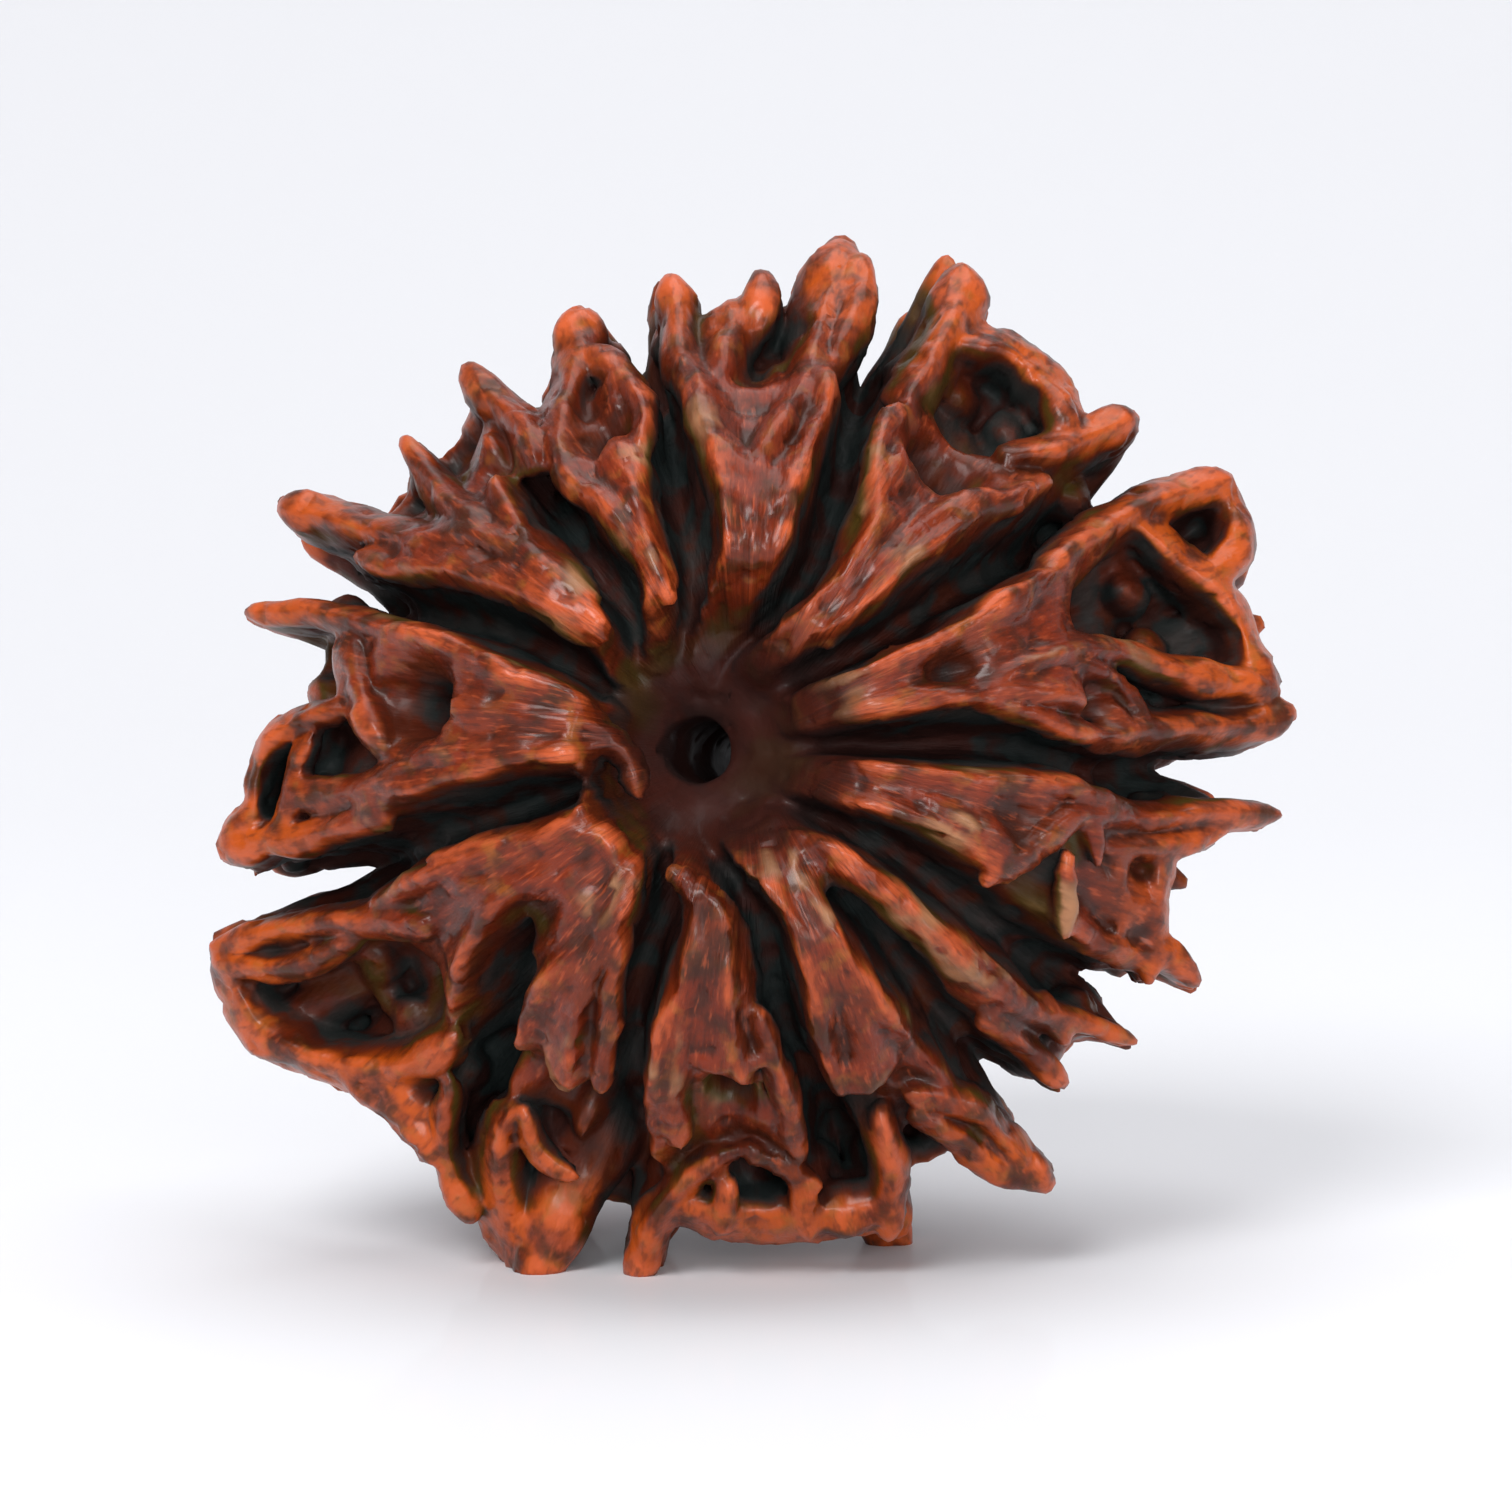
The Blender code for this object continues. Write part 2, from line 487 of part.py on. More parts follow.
def crests():
    """The crests of the clean end. One that runs out past the faces becomes a fin, in layers."""
    for crest in CRESTS:
        radii = [radius for _, _, radius in crest]
        levels = [
            level(math.hypot(x, y))
            - CREST_SINK * radius
            - BROAD_SINK * max(0.0, radius - ORDINARY_CREST)
            for x, y, radius in crest
        ]
        yield [(x, y, z) for (x, y, _), z in zip(crest, levels)], radii
        if max(math.hypot(x, y) for x, y, _ in crest) > FIN_FROM:
            for depth, reach in FIN_LAYERS:
                line = [(x * reach, y * reach, z * depth) for (x, y, _), z in zip(crest, levels)]
                yield line, radii


def thorns():
    """The thorns of the waist and of the hidden end, bent as they grow out of the stone."""
    draw = np.random.default_rng(SEED)
    for root, tip, reach, root_radius, tip_radius in ROWS:
        for latitude, share in THORN_STEPS:
            at_waist = share == 1.0
            shift = 0.0 if at_waist else draw.uniform(-THORN_SHIFT, THORN_SHIFT)
            stretch = 1.0 if at_waist else draw.uniform(*THORN_STRETCH)
            climb = 0.0 if at_waist else draw.uniform(-THORN_CLIMB, THORN_CLIMB)
            slim = THORN_SLIM[0] if at_waist else draw.uniform(*THORN_SLIM)
            length = (reach - CORE_RADIUS) * share * stretch
            bend = (0.0, 0.3, 0.6, 1.0)
            heights = (-THORN_ROOT_DEPTH, 0.3 * length, 0.62 * length, length - 0.5 * tip_radius)
            middle = 0.35 * root_radius + 0.65 * tip_radius
            radii = (1.4 * root_radius, 0.9 * root_radius, middle, tip_radius)
            line = [
                place(root + shift + (tip - root) * part, latitude + climb * part, height)
                for part, height in zip(bend, heights)
            ]
            yield line, [radius * slim for radius in radii]


def keels():
    """The low ridge that carries each row of thorns, from the waist to the hidden end."""
    draw = np.random.default_rng(SEED + 1)
    for root, *_ in ROWS:
        line, radii = [], []
        for latitude in KEEL_LATITUDES:
            fade = math.cos(math.radians(latitude * 1.35))
            angle = root + draw.uniform(-KEEL_WANDER, KEEL_WANDER)
            line.append(place(angle, latitude, flesh(latitude) - KEEL_SINK * (1.0 - fade)))
            radii.append(KEEL_RADIUS[0] + KEEL_RADIUS[1] * fade * draw.uniform(0.8, 1.2))
        yield line, radii


def bridges():
    """Short ridges that cross from one row to the next inside a face, and leave pits between them."""
    draw = np.random.default_rng(SEED + 2)
    waist = [cleft[1] for cleft in CLEFTS]
    for (left, *_), (right, *_) in zip(ROWS, ROWS[1:] + ROWS[:1]):
        span = (right - left) % 360.0
        if any((angle - left) % 360.0 < span for angle in waist):
            continue
        for latitude in BRIDGE_LATITUDES:
            start = latitude + draw.uniform(-BRIDGE_START, BRIDGE_START)
            end = latitude + draw.uniform(-BRIDGE_END, BRIDGE_END)
            bulge = draw.uniform(*BRIDGE_BULGE)
            line = [
                place(left + span * part, start + (end - start) * part, flesh(latitude) + lift)
                for part, lift in ((0.0, -BRIDGE_SINK), (0.35, bulge), (0.65, bulge), (1.0, -BRIDGE_SINK))
            ]
            yield line, BRIDGE_RADII


def webs():
    """The walls behind the open fins."""
    for start, end, distance in WEBS:
        angles = np.radians(np.linspace(start, end, 4))
        line = [(distance * math.cos(turn), distance * math.sin(turn), WEB_LEVEL) for turn in angles]
        yield line, [WEB_RADIUS] * len(line)


def feet():
    """The thorns it stands on, from inside the stone to just past the floor."""
    tilt = math.radians(LEAN)
    for x, z, radius in FEET:
        y = -(FLOOR + FOOT_PAST_FLOOR + z * math.sin(tilt)) / math.cos(tilt)
        line = [(x * share, y * share, z) for share, _ in FOOT_TAPER]
        yield line, [radius * width for _, width in FOOT_TAPER]


def rounded(line, radii):
    """The line with a point past each end, where the tube closes in a dome."""
    line, radii = [Vector(point) for point in line], list(radii)
    past, narrow = DOME
    first = line[0] + past * radii[0] * (line[0] - line[1]).normalized()
    last = line[-1] + past * radii[-1] * (line[-1] - line[-2]).normalized()
    return [first, *line, last], [narrow * radii[0], *radii, narrow * radii[-1]]


def rib_section():
    """The section of a crest as a flat closed outline."""
    curve = bpy.data.curves.new("rib section", "CURVE")
    spline = curve.splines.new("POLY")
    other_half = [(-across, up) for across, up in RIB_SECTION[-2:0:-1]]
    outline = [*RIB_SECTION, *other_half]
    spline.points.add(len(outline) - 1)
    for point, (across, up) in zip(spline.points, outline):
        point.co = (across, up, 0.0, 1.0)
    spline.use_cyclic_u = True
    section = bpy.data.objects.new("rib section", curve)
    bpy.context.collection.objects.link(section)
    return section


def tubes_of(lines, section=None):
    """All these lines in one curve, as tubes with the radius given at each of their points.

    They are round, or have the section given, held upright, and then end square in their round tips.
    """
    curve = bpy.data.curves.new("thorns", "CURVE")
    curve.dimensions = "3D"
    curve.twist_mode = "Z_UP"
    curve.bevel_mode = "OBJECT" if section else "ROUND"
    curve.bevel_object = section
    curve.bevel_depth = 1.0
    curve.bevel_resolution = 2
    curve.resolution_u = 4
    curve.use_fill_caps = True
    for line, radii in lines:
        line, radii = rounded(line, radii)
        if section:
            line, radii = line[:-1], radii[:-1]
        spline = curve.splines.new("NURBS")
        spline.points.add(len(line) - 1)
        for point, place_of, radius in zip(spline.points, line, radii):
            point.co = (*place_of, 1.0)
            point.radius = radius
        spline.order_u = 3
        spline.use_endpoint_u = True
    tubes = bpy.data.objects.new("thorns", curve)
    bpy.context.collection.objects.link(tubes)
    return tubes


def evaluated_mesh(obj):
    """A plain mesh of the object with its modifiers applied."""
    graph = bpy.context.evaluated_depsgraph_get()
    return bpy.data.meshes.new_from_object(obj.evaluated_get(graph))


def joined(name, meshes):
    """One object that holds all these meshes, still as loose shells."""
    made = bmesh.new()
    for mesh in meshes:
        made.from_mesh(mesh)
    bmesh.ops.remove_doubles(made, verts=made.verts, dist=0.0001)
    mesh = bpy.data.meshes.new(name)
    made.to_mesh(mesh)
    made.free()
    obj = bpy.data.objects.new(name, mesh)
    bpy.context.collection.objects.link(obj)
    return obj


def fuse(obj):
    """Grows stone and thorns into one skin, softens it, and thins it to the wanted number of faces."""
    remesh = obj.modifiers.new("one skin", "REMESH")
    remesh.mode = "VOXEL"
    remesh.voxel_size = VOXEL
    soften = obj.modifiers.new("soften", "SMOOTH")
    soften.factor = 0.5
    soften.iterations = 3
    obj.data = evaluated_mesh(obj)
    obj.modifiers.clear()
    thin = obj.modifiers.new("thin out", "DECIMATE")
    thin.ratio = TRIANGLES / (2 * len(obj.data.polygons))
    obj.data = evaluated_mesh(obj)
    obj.modifiers.clear()


def stand(obj):
    """Turns the bead on edge, cuts its feet flat, and puts the foot of its box at the origin."""
    turn = Matrix.Rotation(math.radians(90.0 - LEAN), 4, "X")
    obj.data.transform(Matrix.Scale(MM, 4) @ turn)
    floor = -FLOOR * MM
    made = bmesh.new()
    made.from_mesh(obj.data)
    cut = bmesh.ops.bisect_plane(
        made,
        geom=made.verts[:] + made.edges[:] + made.faces[:],
        plane_co=(0, 0, floor),
        plane_no=(0, 0, -1),
        clear_outer=True,
    )
    rim = [item for item in cut["geom_cut"] if isinstance(item, bmesh.types.BMEdge)]
    bmesh.ops.holes_fill(made, edges=rim, sides=0)
    bmesh.ops.triangulate(made, faces=made.faces)
    corners = np.array([vertex.co for vertex in made.verts])
    centre = (corners.min(axis=0) + corners.max(axis=0)) / 2
    bmesh.ops.translate(made, verts=made.verts, vec=(-centre[0], -centre[1], -floor))
    made.to_mesh(obj.data)
    made.free()


def stone_material():
    """Oiled seed stone, red-brown on the faces."""
    material = bpy.data.materials.new("oiled stone")
    material.use_nodes = True
    surface = material.node_tree.nodes["Principled BSDF"]
    surface.inputs["Base Color"].default_value = (0.27, 0.07, 0.03, 1.0)
    surface.inputs["Roughness"].default_value = 0.45
    surface.inputs["Metallic"].default_value = 0.0
    return material


def main():
    for obj in list(bpy.data.objects):
        bpy.data.objects.remove(obj)
    bpy.context.scene.unit_settings.system = "METRIC"
    stone = stone_mesh()
    section = rib_section()
    ribs = tubes_of(crests(), section)
    tips = [(line[-2:], radii[-2:]) for line, radii in crests()]
    tubes = tubes_of([*tips, *thorns(), *keels(), *bridges(), *webs(), *feet()])
    bead = joined("bead", [stone.data, evaluated_mesh(ribs), evaluated_mesh(tubes)])
    for guide in (stone, section, ribs, tubes):
        bpy.data.objects.remove(guide)
    fuse(bead)
    stand(bead)
    bead.data.shade_smooth()
    bead.data.materials.append(stone_material())


main()
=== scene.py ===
"""The looks of the rudraksha bead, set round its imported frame.

The bead is one natural piece: the ribbed stone of the rudraksha fruit, cleaned, dried and oiled,
standing on edge on the thorns of its waist. It is grown here in millimetres in its own axes, with the
thread hole along Z and the clean end up, and is then stood in its place. Each section is one form of
the stone, and after them come its skin, its finish, the floor, the light and the camera.
"""

import math

import bmesh
import bpy
import numpy as np
from mathutils import Matrix, Vector, noise
from mathutils.bvhtree import BVHTree


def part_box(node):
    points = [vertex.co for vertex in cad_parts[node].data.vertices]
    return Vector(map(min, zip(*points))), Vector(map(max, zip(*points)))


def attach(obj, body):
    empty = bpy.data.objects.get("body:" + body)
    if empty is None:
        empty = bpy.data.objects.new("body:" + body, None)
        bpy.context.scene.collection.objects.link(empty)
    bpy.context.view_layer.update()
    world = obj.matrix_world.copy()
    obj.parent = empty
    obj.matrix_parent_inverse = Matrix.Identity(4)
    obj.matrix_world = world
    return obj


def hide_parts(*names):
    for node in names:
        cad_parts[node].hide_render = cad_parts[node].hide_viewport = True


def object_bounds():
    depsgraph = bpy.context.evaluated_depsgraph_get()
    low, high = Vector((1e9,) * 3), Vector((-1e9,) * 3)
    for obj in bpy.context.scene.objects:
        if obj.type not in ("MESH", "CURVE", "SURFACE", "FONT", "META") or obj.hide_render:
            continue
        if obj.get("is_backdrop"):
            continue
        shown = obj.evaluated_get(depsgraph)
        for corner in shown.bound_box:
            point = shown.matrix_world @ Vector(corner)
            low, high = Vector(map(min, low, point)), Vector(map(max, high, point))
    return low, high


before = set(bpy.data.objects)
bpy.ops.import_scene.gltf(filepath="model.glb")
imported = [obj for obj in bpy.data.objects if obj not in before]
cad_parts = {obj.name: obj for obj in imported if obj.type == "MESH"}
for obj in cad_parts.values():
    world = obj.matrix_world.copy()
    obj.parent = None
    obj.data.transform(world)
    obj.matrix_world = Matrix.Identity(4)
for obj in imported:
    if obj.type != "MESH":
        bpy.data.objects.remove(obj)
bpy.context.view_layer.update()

# The stone under its thorns. It grows as a hard ribbed shell round the seeds, in as many faces as
# seeds, with a cleft between each two, a valley along each, and a hole left by the stalk.
CORE_RADIUS = 9.2
CORE_HALF_LENGTH = 7.0
HOLE_RADIUS = 0.85
HOLE_NARROWING = 0.1
HOLE_SLANT = (-1.5, -0.1)
BOWL_RADIUS = 4.2
BOWL_DEPTH = 2.3
BOWL_RIDGES = 0.14
FLESH_AT_WAIST = 1.5
FLESH_AT_ENDS = 3.1
FLESH_LATITUDE = 60.0
FIN_FROM = 9.8
FIN_SLOPE = 0.9
CLEFT_FLOOR = 0.28
CLEFT_WALL = 0.72
CLEFT_RUN_IN = 2.0
CLEFT_FULL_WIDTH_FROM = 6.0
CLEFT_LEAST_WIDTH = 0.45
CLEFT_WANDER = 5.0
CLEFT_WANDERS_FROM = (10.0, 60.0)
CLEFT_TURNS_FROM = (15.0, 40.0)
EDGE_HEIGHT = 0.3
EDGE_WIDTH = 0.42
VALLEY_FROM = 6.4
VALLEY_RUN_IN = 2.0
VALLEY_DEPTH = 0.35
VALLEY_FLAT = 0.2
NOSE_SLOPE = 1.3
NOSE_START = 0.7
NOSE_FALL = 1.2
# Each kind of lump: how wide and how high it is, and its seed
BROAD_LUMPS = (2.6, 0.3, 1)
FINE_LUMPS = (1.1, 0.25, 2)
FINE_FROM = 5.5
FINE_RUN_IN = 4.0
LUMP_SHIFT = (7.3, 3.1, 5.7)
SHARE_OUTSIDE = 0.88
STEPS_AROUND = 256
STEPS_ALONG = 240
SEED = 12

# Each cleft: its angle beside the hole and at the waist, and the distance from the axis at which it
# opens. Two of them open late, where neighbouring faces have grown together at their inner ends.
CLEFTS = (
    (68.5, 72.0, 1.9),
    (104.5, 103.0, 1.9),
    (129.0, 121.0, 1.9),
    (153.0, 157.0, 1.9),
    (195.0, 197.0, 2.9),
    (222.0, 231.0, 5.6),
    (246.0, 253.0, 1.9),
    (276.5, 284.0, 1.9),
    (306.5, 308.0, 3.4),
    (325.5, 325.0, 1.9),
    (361.0, 356.5, 1.9),
    (397.0, 395.0, 1.9),
)

# Each face from its cleft on: how far from the axis its smooth inner end stands
NOSES = (4.3, 3.9, 4.0, 2.8, 3.5, 3.5, 3.6, 3.2, 3.2, 3.4, 3.3, 3.3)

# Each hollow in the clean end: right of the hole's middle and above it, its radius and depth
HOLLOWS = (
    (-0.1, 10.2, 0.9, 0.6),
    (5.1, 7.6, 1.0, 2.4),
    (6.5, 9.2, 1.1, 2.6),
    (10.3, 3.6, 1.7, 2.8),
    (5.2, 1.8, 0.6, 0.8),
    (8.9, 1.1, 0.5, 1.2),
    (7.4, -3.9, 0.9, 1.8),
    (2.5, -9.3, 0.8, 1.8),
    (5.2, -7.3, 0.9, 1.8),
    (5.2, -10.1, 0.7, 1.6),
    (-0.2, -8.9, 0.6, 2.2),
    (-4.3, -9.2, 0.7, 1.6),
    (-6.0, -8.0, 0.7, 1.2),
    (-10.3, -6.3, 1.3, 2.6),
    (-9.0, -6.5, 0.9, 2.0),
    (-8.3, 1.1, 0.8, 2.6),
    (-9.9, 0.1, 0.7, 1.6),
    (-3.4, 8.0, 0.6, 1.2),
    (-4.0, 6.6, 0.3, 0.5),
    (-8.1, 6.0, 0.5, 0.8),
    (-6.2, 7.1, 0.5, 1.0),
)


def eased(share):
    """0 to 1, with a soft start and end."""
    share = np.clip(share, 0.0, 1.0)
    return share * share * (3.0 - 2.0 * share)


def place(angle, latitude, height):
    """The point that stands at that height over the core, angles in degrees."""
    angle, latitude = np.radians(angle), np.radians(latitude)
    out, up = np.cos(latitude) / CORE_RADIUS, np.sin(latitude) / CORE_HALF_LENGTH
    slope = np.hypot(out, up)
    radius = CORE_RADIUS * np.cos(latitude) + height * out / slope
    return np.stack(
        (
            radius * np.cos(angle),
            radius * np.sin(angle),
            CORE_HALF_LENGTH * np.sin(latitude) + height * up / slope,
        ),
        axis=-1,
    )


def flesh(latitude):
    """How high a face stands over the core."""
    grown = eased(np.abs(latitude) / FLESH_LATITUDE)
    return FLESH_AT_WAIST + (FLESH_AT_ENDS - FLESH_AT_WAIST) * grown


def level(radius):
    """How far above the waist the clean end's crests lie at that distance from the axis."""
    latitudes = np.arange(89.0, -1.0, -1.0)  # from beside the axis to the waist
    tops = place(0.0, latitudes, flesh(latitudes))
    face = np.interp(min(radius, FIN_FROM), tops[:, 0], tops[:, 2])
    fallen = NOSE_FALL * eased((BOWL_RADIUS - radius) / NOSE_SLOPE)
    return face - fallen - FIN_SLOPE * max(0.0, radius - FIN_FROM)


def lumps(points, size, seed):
    """Smooth random numbers from about -1 to 1 over the points, with lumps of that size."""
    shift = Vector([seed * step for step in LUMP_SHIFT])
    return np.array([noise.noise(Vector(p) / size + shift) for p in points])


def cleft_angles(latitude):
    """The angle of every cleft at each latitude. On the hidden end they wander at random."""
    draw = np.random.default_rng(SEED)
    found = []
    for beside_hole, at_waist, _ in CLEFTS:
        towards_clean = eased((latitude - CLEFT_TURNS_FROM[0]) / CLEFT_TURNS_FROM[1])
        towards_hidden = eased((-latitude - CLEFT_WANDERS_FROM[0]) / CLEFT_WANDERS_FROM[1])
        found.append(
            at_waist
            + (beside_hole - at_waist) * towards_clean
            + draw.uniform(-CLEFT_WANDER, CLEFT_WANDER) * towards_hidden
        )
    return np.array(found)


def relief(angle, latitude):
    """Height of the surface over the core: faces with raised edges, clefts, hollows and the bowl."""
    crest = place(angle, latitude, flesh(latitude))
    radius = np.hypot(crest[:, 0], crest[:, 1])
    angles = cleft_angles(latitude)
    past = (angle - angles) % 360.0
    short = (angles - angle) % 360.0
    width = np.clip(radius / CLEFT_FULL_WIDTH_FROM, CLEFT_LEAST_WIDTH, 1.0)
    millimetres = np.radians(np.minimum(past, short)) * radius / width
    opens = np.array([cleft[2] for cleft in CLEFTS])[:, None]
    opened = eased((radius - opens) / CLEFT_RUN_IN)
    trench = opened * (1.0 - eased((millimetres - CLEFT_FLOOR) / CLEFT_WALL))
    edge = opened * np.exp(-(((millimetres - CLEFT_FLOOR - CLEFT_WALL) / EDGE_WIDTH) ** 2))
    nose = np.array(NOSES)[np.argmin(past, axis=0)]
    risen = BOWL_RIDGES + (1.0 - BOWL_RIDGES) * eased((radius - nose) / NOSE_SLOPE + NOSE_START)
    off_middle = np.abs(past.min(axis=0) - short.min(axis=0)) / (past.min(axis=0) + short.min(axis=0))
    valley = 1.0 - eased(2.0 * off_middle - VALLEY_FLAT)
    valley = eased((radius - VALLEY_FROM) / VALLEY_RUN_IN) * valley
    height = flesh(latitude) * risen * (1.0 - trench.max(axis=0))
    height += EDGE_HEIGHT * edge.max(axis=0) * risen - VALLEY_DEPTH * valley
    for x, y, size, depth in HOLLOWS:
        away = np.linalg.norm(crest - (x, y, level(math.hypot(x, y))), axis=1) / size
        height -= depth * np.exp(-(away**2)) * (1.0 - trench.max(axis=0))
    size, rise, seed = BROAD_LUMPS
    height += rise * lumps(crest, size, seed) * risen
    size, rise, seed = FINE_LUMPS
    height += rise * lumps(crest, size, seed) * eased((radius - FINE_FROM) / FINE_RUN_IN)
    height -= BOWL_DEPTH * eased((BOWL_RADIUS - radius) / BOWL_RADIUS)
    return height


# A torus's ring becomes the stone, and its hole the thread's
bpy.ops.mesh.primitive_torus_add(
    major_segments=STEPS_AROUND, minor_segments=STEPS_ALONG, major_radius=1.0, minor_radius=0.5
)
stone = bpy.context.object
ring = np.empty(len(stone.data.vertices) * 3)
stone.data.vertices.foreach_get("co", ring)
x, y, z = ring.reshape(-1, 3).T
angle = np.degrees(np.arctan2(y, x)) % 360.0
loop = np.arctan2(z, np.hypot(x, y) - 1.0) / math.pi
last_latitude = math.degrees(math.acos(HOLE_RADIUS / CORE_RADIUS))
latitude = np.clip(loop / SHARE_OUTSIDE, -1.0, 1.0) * last_latitude
grown = place(angle, latitude, relief(angle, latitude))
in_hole = np.abs(loop) > SHARE_OUTSIDE
mouth = np.clip((1.0 - np.abs(loop)) / (1.0 - SHARE_OUTSIDE), 0.0, 1.0)
flare = HOLE_RADIUS * (1.0 - HOLE_NARROWING * (1.0 - mouth))
wall = np.stack(
    (
        flare * np.cos(np.radians(angle)),
        flare * np.sin(np.radians(angle)),
        np.sign(loop) * mouth * (CORE_HALF_LENGTH - BOWL_DEPTH),
    ),
    axis=-1,
)
grown[in_hole] = wall[in_hole]
near_hole = 1.0 - eased((np.hypot(grown[:, 0], grown[:, 1]) - HOLE_RADIUS) / BOWL_RADIUS)
slant = near_hole * grown[:, 2] / CORE_HALF_LENGTH
grown[:, 0] += HOLE_SLANT[0] * slant
grown[:, 1] += HOLE_SLANT[1] * slant
stone.data.vertices.foreach_set("co", grown.ravel())

# The crests of the clean end, hard ribs that branch as they leave the hole, sunk into the faces, the
# broad ones deeper. One that runs out past the faces becomes a fin: the crest again in layers below.
CREST_SINK = 0.3
BROAD_SINK = 1.8
ORDINARY_CREST = 0.5
FIN_LAYERS = ((0.66, 0.985), (0.33, 0.995), (0.02, 0.985))

